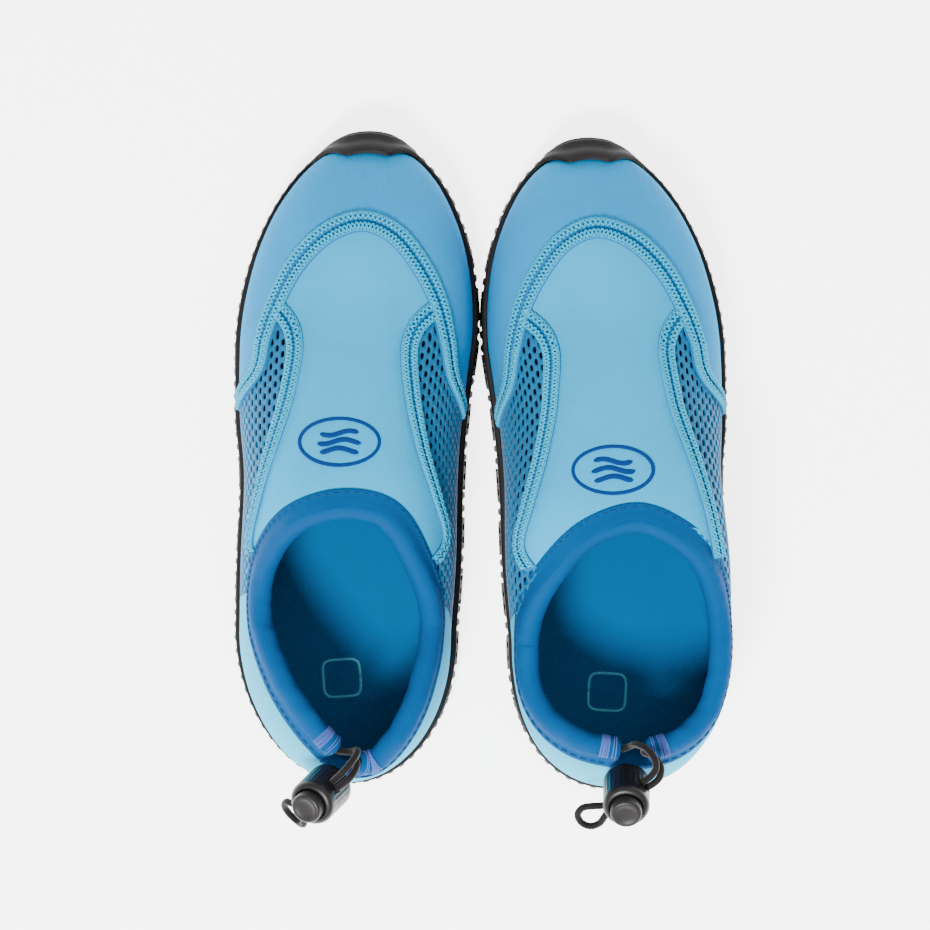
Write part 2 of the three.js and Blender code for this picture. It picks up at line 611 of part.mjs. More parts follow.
function upperPieces(shoe, collar) {
  const station = (y, medial) => sideStation(y, medial) - (medial ? STATIONS : 0);
  const foot = (s) => outlineAt(s, FEATHER_OUT, shoe);
  const toeFrom = sideStation(TOE_SEAM_END_Y.lateral, false);
  const toeTo = sideStation(TOE_SEAM_END_Y.medial, true);
  const ends = [outlineAt(toeFrom, 1, shoe), outlineAt(toeTo, 1, shoe)];
  const toeSeam = chartCurve(TOE_SEAM, shoe, [ends[0]], [ends[1]]);
  const share = (y, medial) => edgeShareAt(collar.edge, y, medial);
  const joint = { lateral: toeSeam(SEAM_JOINT.lateral), medial: toeSeam(SEAM_JOINT.medial) };
  const corner = {
    lateral: share(SEAM_COLLAR_Y.lateral, false),
    medial: share(SEAM_COLLAR_Y.medial, true),
  };
  const heelTop = {
    lateral: share(HEEL_SEAM_TOP_Y.lateral, false),
    medial: share(HEEL_SEAM_TOP_Y.medial, true),
  };
  const heelFoot = {
    lateral: station(HEEL_SEAM_FOOT_Y.lateral, false),
    medial: station(HEEL_SEAM_FOOT_Y.medial, true),
  };
  const seam = {
    lateral: chartCurve(LATERAL_SEAM, shoe, [joint.lateral], [collar.edge(corner.lateral)]),
    medial: chartCurve(MEDIAL_SEAM, shoe, [joint.medial], [collar.edge(corner.medial)]),
  };
  const depths = { panel: [0, NEOPRENE], mesh: [MESH_INSET, MESH_INSET + MESH_THICKNESS] };

  const toeFoot = (u) => foot(mix(toeFrom, toeTo, u));
  const toePatch = patch(toeFoot, toeSeam, line(toeFoot(0), ends[0]), line(toeFoot(1), ends[1]));

  const vampBack = (u) => collar.edge(mix(corner.lateral, corner.medial, u));
  const vampFront = stretch(toeSeam, SEAM_JOINT.lateral, SEAM_JOINT.medial);
  const vampPatch = patch(vampFront, vampBack, seam.lateral, seam.medial);

  const meshPatch = (name, from, end, seamFrom) => {
    const to = name === "medial" ? STATIONS + heelFoot[name] : heelFoot[name];
    const edgeTop = (u) => collar.edge(mix(corner[name], heelTop[name], u));
    const meshFoot = (u) => foot(mix(from, to, u));
    const besideToe = stretch(toeSeam, seamFrom, SEAM_JOINT[name]);
    const front = joined(line(meshFoot(0), end), besideToe, MESH_FRONT_CORNER);
    const top = joined(seam[name], edgeTop, MESH_TOP_CORNER);
    return patch(meshFoot, top, front, line(foot(to), edgeTop(1)));
  };

  const heelFootLine = (u) => foot(mix(heelFoot.lateral, heelFoot.medial, u));
  const heelEdge = (u) => collar.edge(mix(heelTop.lateral, heelTop.medial - 1, u));
  const heelPatch = patch(heelFootLine, heelEdge, line(heelFootLine(0), heelEdge(0)),
    line(heelFootLine(1), heelEdge(1)));

  const liningFoot = (u) => foot(mix(station(LINING_FRONT_Y, false), station(LINING_FRONT_Y, true), u));
  const liningEdge = (u) => collar.edge(mix(0.5, -0.5, u));
  const liningPatch = patch(liningFoot, liningEdge, line(liningFoot(0), liningEdge(0)),
    line(liningFoot(1), liningEdge(1)));
  const liningDepth = NEOPRENE + LINING_GAP;

  return {
    toe_panel: patchSolid(toePatch, 22, 4, depths.panel, shoe, [300, 18]),
    vamp_panel: patchSolid(vampPatch, 10, 7, depths.panel, shoe, [40, 100]),
    lateral_mesh: patchSolid(meshPatch("lateral", toeFrom, ends[0], 0), 8, 6, depths.mesh, shoe, [70, 40]),
    medial_mesh: patchSolid(meshPatch("medial", toeTo, ends[1], 1), 8, 6, depths.mesh, shoe, [70, 40]),
    heel_panel: patchSolid(heelPatch, 20, 4, depths.panel, shoe, [200, 55]),
    lining: patchSolid(liningPatch, 26, 4, [liningDepth, liningDepth + LINING], shoe, [300, 55]),
    toe_seam_tape: tape(toeSeam, TOE_TAPE_SPAN, TOE_TAPE_WIDTH, 20, shoe),
    lateral_vamp_tape: tape(seam.lateral, VAMP_TAPE_SPAN, VAMP_TAPE_WIDTH, 11, shoe),
    medial_vamp_tape: tape(seam.medial, VAMP_TAPE_SPAN, VAMP_TAPE_WIDTH, 11, shoe),
  };
}

// Flat tape laid over a seam.
function tape(seam, [from, to], width, columns, shoe) {
  const face = (depth) => (u, v) => {
    const at = mix(from, to, u);
    const away = leftOf(seam, at).map((d) => (v < 0.5 ? -d : d));
    return lift(stepOnWall(seam(at), away, width / 2, -TAPE_GAP, shoe), depth, shoe);
  };
  return sheetSolid(columns, 1, face(-TAPE_GAP - TAPE), face(-TAPE_GAP));
}

// Oval ring welded on the vamp.
function emblem(shoe) {
  const face = (depth) => (u, v) => {
    const angle = 2 * Math.PI * u;
    const inset = EMBLEM.ring * (1 - v);
    const x = shoe.emblem[0] + (EMBLEM.halfLength - inset) * Math.cos(angle);
    const y = shoe.emblem[1] + (EMBLEM.halfHeight - inset) * Math.sin(angle);
    return lift(toChart([x, y], shoe), depth, shoe);
  };
  return sheetSolid(20, 1, face(-LAYER_GAP - EMBLEM.thickness), face(-LAYER_GAP), true);
}

// ---- Collar ----

function collarPath(shoe, collar) {
  const gap = shoe.tunnelGap / collar.length / 2;
  const points = Array.from({ length: TUNNEL_STEPS + 1 }, (_, i) =>
    new THREE.Vector3(...lift(collar.centre(mix(gap, 1 - gap, i / TUNNEL_STEPS)), COLLAR_DEPTH, shoe)));
  return new THREE.CatmullRomCurve3(points);
}

function tunnelTack(path, at, shoe, collar) {
  const here = path.getPointAt(at);
  const along = path.getTangentAt(at);
  const gap = shoe.tunnelGap / collar.length / 2;
  const edge = new THREE.Vector3(...lift(collar.edge(mix(gap, 1 - gap, at)), COLLAR_DEPTH, shoe));
  const up = here.clone().sub(edge).projectOnPlane(along).normalize();
  const across = up.clone().cross(along);
  const size = TUNNEL_RADIUS + LAYER_GAP + TACK_THICKNESS / 2;
  const basis = new THREE.Matrix4().makeBasis(along, across, up);
  basis.setPosition(here.addScaledVector(up, size));
  return welded(new THREE.BoxGeometry(TACK_LENGTH, TACK_WIDTH, TACK_THICKNESS).applyMatrix4(basis));
}

function collarPieces(shoe, collar) {
  const path = collarPath(shoe, collar);
  return {
    collar_binding: tubeSolid(path, TUNNEL_STEPS, TUNNEL_RADIUS, 6, TUNNEL_BORE),
    drawcord_in_collar: tubeSolid(innerCordPath(path), TUNNEL_STEPS, CORD_RADIUS, 5),
    drawcord_loop: tubeSolid(loopPath(shoe), LOOP_STEPS, CORD_RADIUS, 8),
    lateral_tunnel_tack: tunnelTack(path, TACK_SHARE, shoe, collar),
    medial_tunnel_tack: tunnelTack(path, 1 - TACK_SHARE, shoe, collar),
  };
}

function innerCordPath(path) {
  const recess = CORD_RECESS / path.getLength();
  const points = Array.from({ length: TUNNEL_STEPS + 1 }, (_, i) =>
    path.getPointAt(mix(recess, 1 - recess, i / TUNNEL_STEPS)));
  return new THREE.CatmullRomCurve3(points);
}

function loopPath(shoe) {
  return new THREE.CatmullRomCurve3(shoe.loop.map((p) => new THREE.Vector3(...p)));
}

// ---- Cord lock ----

function lathe(profile, segments) {
  return welded(new THREE.LatheGeometry(profile.map(([r, z]) => new THREE.Vector2(r, z)), segments)
    .rotateX(Math.PI / 2));
}

function lockBarrel() {
  const r = BARREL_ROUND;
  const [top, bottom] = [BARREL_TOP, BARREL_BOTTOM];
  const body = lathe([
    [0, bottom], [BARREL_RADIUS - r, bottom], [BARREL_RADIUS - r * 0.3, bottom + r * 0.3],
    [BARREL_RADIUS, bottom + r], [BARREL_RADIUS, top - r], [BARREL_RADIUS - r * 0.3, top - r * 0.3],
    [BARREL_RADIUS - r, top], [BORE_RADIUS, top], [BORE_RADIUS, BORE_BOTTOM], [0, BORE_BOTTOM],
  ], 16);
  return cutBy(body, box(4 * BARREL_RADIUS, CORD_HOLE.width, CORD_HOLE.height, 0, 0, 0));
}

function lockButton() {
  const r = BUTTON_ROUND;
  const body = lathe([
    [0, BUTTON_BOTTOM], [BUTTON_RADIUS, BUTTON_BOTTOM], [BUTTON_RADIUS, BUTTON_TOP - r],
    [BUTTON_RADIUS - r * 0.3, BUTTON_TOP - r * 0.3], [BUTTON_RADIUS - r, BUTTON_TOP], [0, BUTTON_TOP],
  ], 14);
  const height = BUTTON_SLOT.top - BUTTON_SLOT.bottom;
  const middle = (BUTTON_SLOT.top + BUTTON_SLOT.bottom) / 2;
  return cutBy(body, box(4 * BUTTON_RADIUS, BUTTON_SLOT.width, height, 0, 0, middle));
}

function lockSpring() {
  const low = BORE_BOTTOM + SPRING_WIRE + SPRING_GAP;
  const high = BUTTON_BOTTOM - SPRING_WIRE - SPRING_GAP;
  const steps = SPRING_TURNS * SPRING_STEPS_PER_TURN;
  const points = Array.from({ length: steps + 1 }, (_, i) => {
    const angle = (i / steps) * SPRING_TURNS * 2 * Math.PI;
    const z = mix(low, high, i / steps);
    return new THREE.Vector3(SPRING_RADIUS * Math.cos(angle), SPRING_RADIUS * Math.sin(angle), z);
  });
  return tubeSolid(new THREE.CatmullRomCurve3(points), steps, SPRING_WIRE, 4);
}

// Axes of a lock: x along the cord towards its tail, z along the button.
function lockPose(shoe) {
  const cord = new THREE.Vector3(...shoe.lock.cord);
  const up = new THREE.Vector3(...shoe.lock.button).normalize();
  cord.projectOnPlane(up).normalize();
  const basis = new THREE.Matrix4().makeBasis(cord, up.clone().cross(cord), up);
  return basis.setPosition(...shoe.lock.centre);
}

// ---- The pair ----

function mirrored(geometry) {
  const p = geometry.getAttribute("position");
  for (let i = 0; i < p.count; i++) p.setX(i, -p.getX(i));
  return facingOut(geometry);
}

function mesh(name, geometry, colour) {
  const [color, roughness, metalness] = colour;
  const result = new THREE.Mesh(geometry, new THREE.MeshStandardMaterial({ color, roughness, metalness }));
  result.name = name;
  return result;
}

function buildShoe(shoe) {
  const group = new THREE.Group();
  const collar = collarLines(shoe);
  const pieces = {
    outsole: outsole(shoe),
    strobel_board: insetPlate(STROBEL_INSET, STROBEL_Z, shoe),
    insole: insetPlate(INSOLE_INSET, INSOLE_Z, shoe),
    ...upperPieces(shoe, collar),
    emblem: emblem(shoe),
    ...collarPieces(shoe, collar),
  };
  const pose = lockPose(shoe);
  pieces.lock_barrel = lockBarrel().applyMatrix4(pose);
  pieces.lock_button = lockButton().applyMatrix4(pose);
  pieces.lock_spring = lockSpring().applyMatrix4(pose);
  const middle = SHOE_LENGTH / 2;
  for (const [name, geometry] of Object.entries(pieces)) {
    geometry.translate(0, -middle, 0);
    const shown = shoe.side < 0 ? mirrored(geometry) : facingOut(geometry);
    group.add(mesh(`${shoe.name}_${name}`, shown, COLOURS[COLOUR_OF[name]]));
  }
  group.position.set(...shoe.place, 0);
  group.rotation.z = THREE.MathUtils.degToRad(shoe.turn);
  return group;
}

const COLOUR_OF = {
  outsole: "rubber",
  strobel_board: "board",
  insole: "insole",
  toe_panel: "toe",
  vamp_panel: "vamp",
  lateral_mesh: "mesh",
  medial_mesh: "mesh",
  heel_panel: "heel",
  lining: "lining",
  toe_seam_tape: "tape",
  lateral_vamp_tape: "tape",
  medial_vamp_tape: "tape",
  emblem: "emblem",
  collar_binding: "binding",
  drawcord_in_collar: "cord",
  drawcord_loop: "cord",
  lateral_tunnel_tack: "heel",
  medial_tunnel_tack: "heel",
  lock_barrel: "lock",
  lock_button: "lock",
  lock_spring: "steel",
};

const pair = new THREE.Group();
pair.add(buildShoe(LEFT), buildShoe(RIGHT));
export default pair;
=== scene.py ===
"""Looks of a pair of low slip-on water shoes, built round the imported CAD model.

The surface of each shoe is laid out in its own plan, in millimetres: y runs from the back of the
heel to the toe, x is positive towards the medial side, and z is the height above the floor.
placed() turns those points into metres in the frame of the pair.
"""

import math

import bmesh
import bpy
import numpy as np
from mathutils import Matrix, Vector


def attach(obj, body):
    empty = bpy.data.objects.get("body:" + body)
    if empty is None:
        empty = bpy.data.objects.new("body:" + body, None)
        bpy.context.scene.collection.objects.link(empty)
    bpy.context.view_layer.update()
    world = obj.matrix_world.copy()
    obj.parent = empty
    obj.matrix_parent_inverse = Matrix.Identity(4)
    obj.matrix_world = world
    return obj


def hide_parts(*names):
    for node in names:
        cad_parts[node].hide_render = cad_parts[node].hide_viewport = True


MM = 0.001
WELD = 0.001

# ---- The wall surface of the upper, as in the CAD ----
SHOE_LENGTH = 264.0
HEEL_CENTRE_Y = 62.0
TOE_CENTRE_Y = 180.0
SOLE_OVERHANG = 2.3
HEEL_LENGTH = HEEL_CENTRE_Y - SOLE_OVERHANG
TOE_LENGTH = SHOE_LENGTH - SOLE_OVERHANG - TOE_CENTRE_Y
HEEL_SKEW = -0.03
TOE_SKEW = 0.064
LATERAL_SIDE = [(62, -46.2), (90, -45.7), (125, -44.3), (150, -46.2), (180, -46.2)]
MEDIAL_SIDE = [(62, 39.7), (90, 41.7), (125, 42.5), (150, 44.3), (180, 48.2)]
RIDGE = [(0, 62), (40, 59), (75, 59), (117, 66), (152, 54), (192, 37), (232, 34), (262, 18)]
WIDEST_Z = 18.0
FEATHER_Z = 8.0
FEATHER_OUT = 1.2
FEATHER_DROP = (WIDEST_Z - FEATHER_Z) / (FEATHER_OUT - 1)
FOREFOOT_FULLNESS = 2.3
REAR_FADE = (160.0, 90.0)
HEEL_STATIONS = 6
SIDE_STATIONS = 8
TOE_STATIONS = 16
STATIONS = 2 * HEEL_STATIONS + 2 * SIDE_STATIONS + TOE_STATIONS

NEOPRENE = 3.0
LINING = 0.8
LINING_GAP = 0.9
COLLAR_DEPTH = (NEOPRENE + LINING_GAP + LINING) / 2
TUNNEL_RADIUS = 4.5
TUNNEL_CLEARANCE = 1.3
RIM_POINTS = 48
# Panels: spacing of the mesh, and the width and depth of the rolled edges.
PANEL_STEP = 1.7
ROLL_WIDTH = 1.6
ROLL_DEPTH = 1.3

# ---- Seams, as plan points ----
TOE_SEAM = [(-39, 166), (-35, 181), (-30, 195), (-22, 210), (-10, 222), (4, 227), (17, 222),
            (27, 210), (34, 196), (38, 180), (41, 163)]
TOE_SEAM_END_Y = {"lateral": 152, "medial": 147}
VAMP_SEAM = {
    "lateral": [(-22.5, 181), (-24, 162), (-30, 140), (-36, 119), (-40, 100)],
    "medial": [(24, 181), (24, 160), (28, 138), (34, 117), (37.5, 101)],
}
SEAM_JOINT = {"lateral": 0.3, "medial": 0.7}
SEAM_COLLAR_Y = {"lateral": 93, "medial": 90}
HEEL_SEAM_TOP_Y = {"lateral": 80, "medial": 76}
HEEL_SEAM_FOOT_Y = {"lateral": 72, "medial": 58}
LINING_FRONT_Y = 126
TOE_TAPE = {"span": (0.02, 0.98), "width": 8.4, "rise": 1.2}
VAMP_TAPE = {"span": (0.0, 0.985), "width": 7.0, "rise": 1.0}
# Zigzag thread of the tapes: rows and swings as shares of the tape's half width.
STITCH_PITCH = 3.2
STITCH_ROW = 0.53
STITCH_SWING = 0.34
STITCH_THREAD = 0.4

# Emblem: half sizes of its ring, half lengths and places of its waves, and widths of line.
EMBLEM_HALF = (15.7, 9.2)
EMBLEM_LINE = 1.5
WAVES = ((7.6, 3.4), (8.6, 0.0), (7.6, -3.4))
WAVE_HEIGHT = 0.9
WAVE_LINE = 2.1

# ---- Collar binding: its legs beside the wall, its stitch row and its bar tacks ----
BINDING_DROP = 7.4
BINDING_GATHER = 26
COLLAR_STITCH_DEPTH = 5.9
COLLAR_STITCH_PITCH = 3.0
FINE_THREAD = 0.24
TACK_ROWS = [3.9 + 0.34 * k for k in range(9)] + [1.5, 2.3]

# ---- Sole ----
PLATE_BOTTOM_Z = 2.5
PLATE_TOP_Z = 6.0
SOLE_CLEARANCE = 0.3
RAND_TOP_OUT = 1.04
TOE_GUARD_OUT = 0.7
TOE_GUARD_HALF_WIDTH = 1.8
TOE_GUARD_STEP = 1.3
TOE_GUARD_STANDOFF = 0.8
TREAD_BARS = 11
TREAD_PITCH = 23.5
FIRST_TREAD = 0.6
TREAD_WIDTH = 12.0
TREAD_POINT = 9.0
TREAD_ARM = 20.0
TREAD_PROUD = 0.9
LUG_PITCH = 5.2
LUG_PROUD = 0.85
LUG_TOP = 0.66
INSOLE_TOP_Z = 12.0
INSOLE_BOTTOM_Z = 8.0
INSOLE_INSET = 5.4
PRINT_HALF_SIZE = 7.6
PRINT_TILT = math.radians(4)

# ---- Mesh panels: a staggered net of oval holes ----
MESH_PITCH = 4.8
MESH_ROW = 3.9
MESH_DEPTH = 0.6
MESH_STRAND = 0.9
MESH_HOLE = (0.29, 0.33)

# ---- Drawcord and lock ----
CORD_RADIUS = 1.4
CORD_STEP = 0.3
TUNNEL_BORE = 2.0
BARREL_RADIUS = 9.2
BARREL_TOP = 8.5
BARREL_BOTTOM = -10.5
BORE_RADIUS = 6.6
BORE_BOTTOM = -9.0
BUTTON_RADIUS = 6.2
BUTTON_TOP = 13.0
BUTTON_BOTTOM = -3.2
CORD_HOLE = (6.8, 3.6)

# ---- Camera and lights, in metres ----
CAMERA_PLACE = (-0.0071, -0.0017, 1.6)
CAMERA_LENS = 150.2
LIGHT_AIM = (0, 0, 0.03)
FLOOR_GLOW = 3.8

# ---- The two shoes. Loop routes are in metres, in the plan of the shoe. ----
LEFT = {
    "name": "left",
    "side": 1,
    "place": (-52.46, 0.43),
    "turn": 0,
    "side_fullness": 2.6,
    "back_fullness": 4.0,
    "flare": 0.0,
    "heel_squareness": 2.0,
    "collar": [(-1.8, 12.4), (-8, 18), (-17, 28), (-29, 46), (-37, 66), (-36.5, 86), (-22, 107),
               (-4, 113), (13, 110.5), (27, 91), (34, 66), (29, 41), (19, 20.5), (8, 10)],
    "tunnel_gap": 10.0,
    "emblem": (-4, 139),
    "insole_ring": (-5.0, 42.7),
    "lock": {"centre": (-11.5, 0.5, 79), "cord": (-0.68, -0.5, -0.567), "button": (-0.42, -0.37, 0.83)},
    "loop_length": 0.1403,
    "loop": [
        (-0.0054, 0.0172, 0.07), (0, 0.017, 0.0735), (0.003, 0.018, 0.079), (0.0025, 0.016, 0.085),
        (-0.0015, 0.011, 0.0875), (-0.0071, 0.0057, 0.0835), (-0.0125, 0.0018, 0.0791),
        (-0.0165, -0.0012, 0.0757), (-0.0192, -0.0033, 0.0734), (-0.0225, -0.0035, 0.0715),
        (-0.025, -0.003, 0.069), (-0.026, -0.005, 0.0655), (-0.024, -0.0085, 0.063),
        (-0.0205, -0.0115, 0.064), (-0.0185, -0.012, 0.0675), (-0.018, -0.0095, 0.071),
        (-0.0172, -0.0058, 0.0733), (-0.0145, -0.0037, 0.0756), (-0.0105, -0.0008, 0.0789),
        (-0.0052, 0.0032, 0.0834), (-0.002, 0.0055, 0.086), (0.001, 0.0085, 0.0865),
        (0.003, 0.012, 0.084), (0.0025, 0.014, 0.079), (0.0005, 0.013, 0.073), (0, 0.012, 0.069),
        (0.002, 0.0119, 0.0651),
    ],
}
RIGHT = {
    "name": "right",
    "side": -1,
    "place": (51.44, -2.07),
    "turn": 1,
    "side_fullness": 4.2,
    "back_fullness": 3.3,
    "flare": 0.08,
    "heel_squareness": 2.25,
    "collar": [(-6, 18), (-22, 20.5), (-36, 31), (-43, 51), (-42, 77), (-30, 100), (-10, 110),
               (10, 105), (28, 87), (37, 64), (34.5, 40), (17, 23)],
    "tunnel_gap": 10.0,
    "emblem": (0.5, 130.5),
    "insole_ring": (2.0, 39.5),
    "lock": {"centre": (-2.5, 2.5, 77.5), "cord": (0.8, -0.5, -0.343), "button": (0.05, -0.51, 0.86)},
    "loop_length": 0.1320,
    "loop": [
        (-0.0104, 0.0197, 0.0684), (-0.01, 0.019, 0.0725), (-0.013, 0.018, 0.078),
        (-0.016, 0.014, 0.081), (-0.0155, 0.01, 0.082), (-0.013, 0.0073, 0.081),
        (-0.0098, 0.0054, 0.0796), (-0.0035, 0.0014, 0.0769), (0.0013, -0.0016, 0.0748),
        (0.0044, -0.0037, 0.0734), (0.006, -0.006, 0.072), (0.008, -0.0088, 0.0695),
        (0.0115, -0.01, 0.0682), (0.015, -0.0085, 0.0685), (0.0165, -0.005, 0.0705),
        (0.0145, -0.0023, 0.0728), (0.011, -0.0016, 0.0742), (0.0065, -0.0013, 0.0747),
        (0.0032, 0.0006, 0.0761), (-0.0015, 0.0036, 0.0781), (-0.0079, 0.0076, 0.0808),
        (-0.0115, 0.01, 0.0825), (-0.014, 0.0135, 0.084), (-0.0135, 0.0175, 0.084),
        (-0.0105, 0.021, 0.0815), (-0.0065, 0.0225, 0.076), (-0.0045, 0.0215, 0.0715),
        (-0.0014, 0.0201, 0.069),
    ],
}


# ======== Geometry helpers ========

def add_object(name, data):
    obj = bpy.data.objects.new(name, data)
    bpy.context.scene.collection.objects.link(obj)
    return obj



def mix(a, b, t):
    return a + (b - a) * t


def smoothstep(x, a, b):
    t = np.clip((np.asarray(x, float) - a) / (b - a), 0, 1)
    return t * t * (3 - 2 * t)


def through(stations, at):
    """Smooth curve through (position, value) stations, flat beyond the ends."""
    pos, val = np.array(stations, float).T
    last = len(pos) - 1
    before = np.maximum(np.arange(last + 1) - 1, 0)
    after = np.minimum(np.arange(last + 1) + 1, last)
    slope = (val[after] - val[before]) / (pos[after] - pos[before])
    at = np.clip(at, pos[0], pos[-1])
    i = np.clip(np.searchsorted(pos, at, side="left") - 1, 0, last - 1)
    span = pos[i + 1] - pos[i]
    t = (at - pos[i]) / span
    return (
        (2 * t**3 - 3 * t**2 + 1) * val[i]
        + (t**3 - 2 * t**2 + t) * span * slope[i]
        + (3 * t**2 - 2 * t**3) * val[i + 1]
        + (t**3 - t**2) * span * slope[i + 1]
    )


def unit(vectors):
    size = np.linalg.norm(vectors, axis=-1, keepdims=True)
    return vectors / np.maximum(size, 1e-12)


def spine_x(y):
    return (through(LATERAL_SIDE, y) + through(MEDIAL_SIDE, y)) / 2


def half_width(y):
    return (through(MEDIAL_SIDE, y) - through(LATERAL_SIDE, y)) / 2


def spine_ray(x, y, shoe):
    cy = np.clip(y, HEEL_CENTRE_Y, TOE_CENTRE_Y)
    cx = spine_x(cy)
    beyond = y - cy
    length = np.where(beyond > 0, TOE_LENGTH, HEEL_LENGTH)
    skew = np.where(beyond > 0, TOE_SKEW, HEEL_SKEW)
    power = np.where(beyond < 0, shoe["heel_squareness"], 2.0)
    across = np.abs(x - cx - skew * beyond) / half_width(cy)
    along = np.abs(beyond) / length
    out = (across**power + along**power) ** (1 / power)
    behind = np.where(beyond < 0, along**2 / np.maximum(across**2 + along**2, 1e-12), 0)
    rear = smoothstep(-cy, -REAR_FADE[0], -REAR_FADE[1])
    fullness = mix(mix(FOREFOOT_FULLNESS, shoe["side_fullness"], rear), shoe["back_fullness"], behind)
    return cx, cy, out, fullness, shoe["flare"] * rear * (1 - behind)


def lift(chart, depth, shoe):
    """Chart points to points on the wall, depth below the outer face."""
    chart = np.asarray(chart, float)
    x, y = chart[..., 0], chart[..., 1]
    cx, cy, out, fullness, flare = spine_ray(x, y, shoe)
    distance = np.hypot(x - cx, y - cy)
    angle = (1 - np.minimum(out, 1)) * math.pi / 2
    c, s = np.cos(angle), np.sin(angle)
    size = (c**fullness + s**fullness) ** (1 / fullness)
    fraction, height = c / size, s / size
    reach = distance / np.maximum(out, 1e-6)
    toward_x = (x - cx) / np.maximum(distance, 1e-6)
    toward_y = (y - cy) / np.maximum(distance, 1e-6)
    flared = fraction * (1 + flare * height)
    ridge = through(RIDGE, cy + toward_y * reach * fraction)
    below = np.maximum(out - 1, 0) * FEATHER_DROP
    return np.stack([
        cx + toward_x * (reach - depth) * flared,
        cy + toward_y * (reach - depth) * flared,
        WIDEST_Z + (ridge - depth) * height - below,
    ], -1)


def to_chart(plan, shoe):
    plan = np.asarray(plan, float)
    x, y = plan[..., 0], plan[..., 1]
    cx, cy, out, fullness, flare = spine_ray(x, y, shoe)
    fraction = np.minimum(out, 1)
    height = np.zeros_like(out)
    for _ in range(12):
        height = (1 - np.minimum(fraction, 1) ** fullness) ** (1 / fullness)
        fraction = np.minimum(out / (1 + flare * height), 1)
    angled = 1 - np.arctan2(height, fraction) * 2 / math.pi
    k = np.where(out > 1e-6, angled / np.maximum(out, 1e-6), 1)
    return np.stack([cx + (x - cx) * k, cy + (y - cy) * k], -1)


def outline_at(station, out, shoe):
    """Chart point at a station round the outline: 0 at the heel, then the lateral side first."""
    turn = np.mod(station, STATIONS)
    far = turn > STATIONS / 2
    s = np.where(far, STATIONS - turn, turn)
    heel = s < HEEL_STATIONS
    toe = s > HEEL_STATIONS + SIDE_STATIONS
    run = np.clip((s - HEEL_STATIONS) / SIDE_STATIONS, 0, 1)
    cy = mix(HEEL_CENTRE_Y, TOE_CENTRE_Y, run)
    heel_angle = np.clip(1 - s / HEEL_STATIONS, 0, 1) * math.pi / 2
    toe_angle = np.clip((s - HEEL_STATIONS - SIDE_STATIONS) / TOE_STATIONS, 0, 1) * math.pi
    power = 2 / shoe["heel_squareness"]
    across = np.where(heel, np.cos(heel_angle) ** power, np.where(toe, np.cos(toe_angle), 1))
    along = np.where(heel, -HEEL_LENGTH * np.sin(heel_angle) ** power,
                     np.where(toe, TOE_LENGTH * np.sin(toe_angle), 0))
    skew = np.where(heel, HEEL_SKEW, np.where(toe, TOE_SKEW, 0))
    x = np.where(far, 1, -1) * across * half_width(cy) + skew * along
    return np.stack([spine_x(cy) + x * out, cy + along * out], -1)


def side_station(y, medial):
    run = (y - HEEL_CENTRE_Y) / (TOE_CENTRE_Y - HEEL_CENTRE_Y)
    station = HEEL_STATIONS + run * SIDE_STATIONS
    return STATIONS - station if medial else station


def placed(points, shoe):
    """Points of a shoe's plan, in millimetres, as metres in the frame of the pair."""
    p = np.asarray(points, float)
    x = p[..., 0] * shoe["side"]
    y = p[..., 1] - SHOE_LENGTH / 2
    turn = math.radians(shoe["turn"])
    c, s = math.cos(turn), math.sin(turn)
    return np.stack([
        c * x - s * y + shoe["place"][0],
        s * x + c * y + shoe["place"][1],
        p[..., 2],
    ], -1) * MM


# ---- Curves ----

def run_along(points):
    """Length of a polyline up to each of its points."""
    return np.concatenate([[0], np.cumsum(np.linalg.norm(np.diff(points, axis=0), axis=1))])


def by_length(points, u):
    """Points at shares u of the length of a polyline."""
    run = run_along(points)
    at = np.clip(u, 0, 1) * run[-1]
    return np.stack([np.interp(at, run, points[:, k]) for k in range(points.shape[1])], -1)


def length_of(points):
    return float(np.linalg.norm(np.diff(points, axis=0), axis=1).sum())


def sampled(fields, positions, at):
    """Each field of vectors, given at the positions, read off at other places."""
    return [np.stack([np.interp(at, positions, f[:, k]) for k in range(3)], -1) for f in fields]


def uniform_spline(points):
    """Even Catmull-Rom curve through points, as a polyline."""
    p = np.asarray(points, float)
    last = len(p) - 1
    t = np.linspace(0, 1, 60, endpoint=False)[:, None]
    out = []
    for i in range(last):
        a, b, c, d = p[max(i - 1, 0)], p[i], p[i + 1], p[min(i + 2, last)]
        m, n = (c - a) / 2, (d - b) / 2
        out.append((2 * b - 2 * c + m + n) * t**3 + (3 * c - 3 * b - 2 * m - n) * t**2 + m * t + b)
    return np.vstack(out + [p[-1:]])


def centripetal_spline(points, closed=False, steps=24):
    """Centripetal Catmull-Rom curve through points, as a polyline."""
    p = np.asarray(points, float)
    n = len(p)
    if closed:
        wrapped = [p[i % n] for i in range(-1, n + 2)]
    else:
        wrapped = [2 * p[0] - p[1], *p, 2 * p[-1] - p[-2]]
    t = np.linspace(0, 1, steps, endpoint=False)[:, None]
    out = []
    for i in range(len(wrapped) - 3):
        a, b, c, d = wrapped[i:i + 4]
        da, db, dc = (np.linalg.norm(q - r) ** 0.5 for q, r in ((b, a), (c, b), (d, c)))
        m = ((b - a) / da - (c - a) / (da + db) + (c - b) / db) * db
        k = ((c - b) / db - (d - b) / (db + dc) + (d - c) / dc) * db
        out.append((2 * b - 2 * c + m + k) * t**3 + (3 * c - 3 * b - 2 * m - k) * t**2 + m * t + b)
    return np.vstack(out + [wrapped[-2][None]])


def chart_curve(plan_points, shoe, before, after):
    middle = to_chart(plan_points, shoe)
    poly = uniform_spline(np.vstack([before, middle, after]))
    return lambda u: by_length(poly, u)


def stretch(curve, start, end):
    return lambda u: curve(mix(start, end, u))


def line(p, q):
    return lambda u: mix(np.asarray(p), np.asarray(q), np.asarray(u)[..., None])


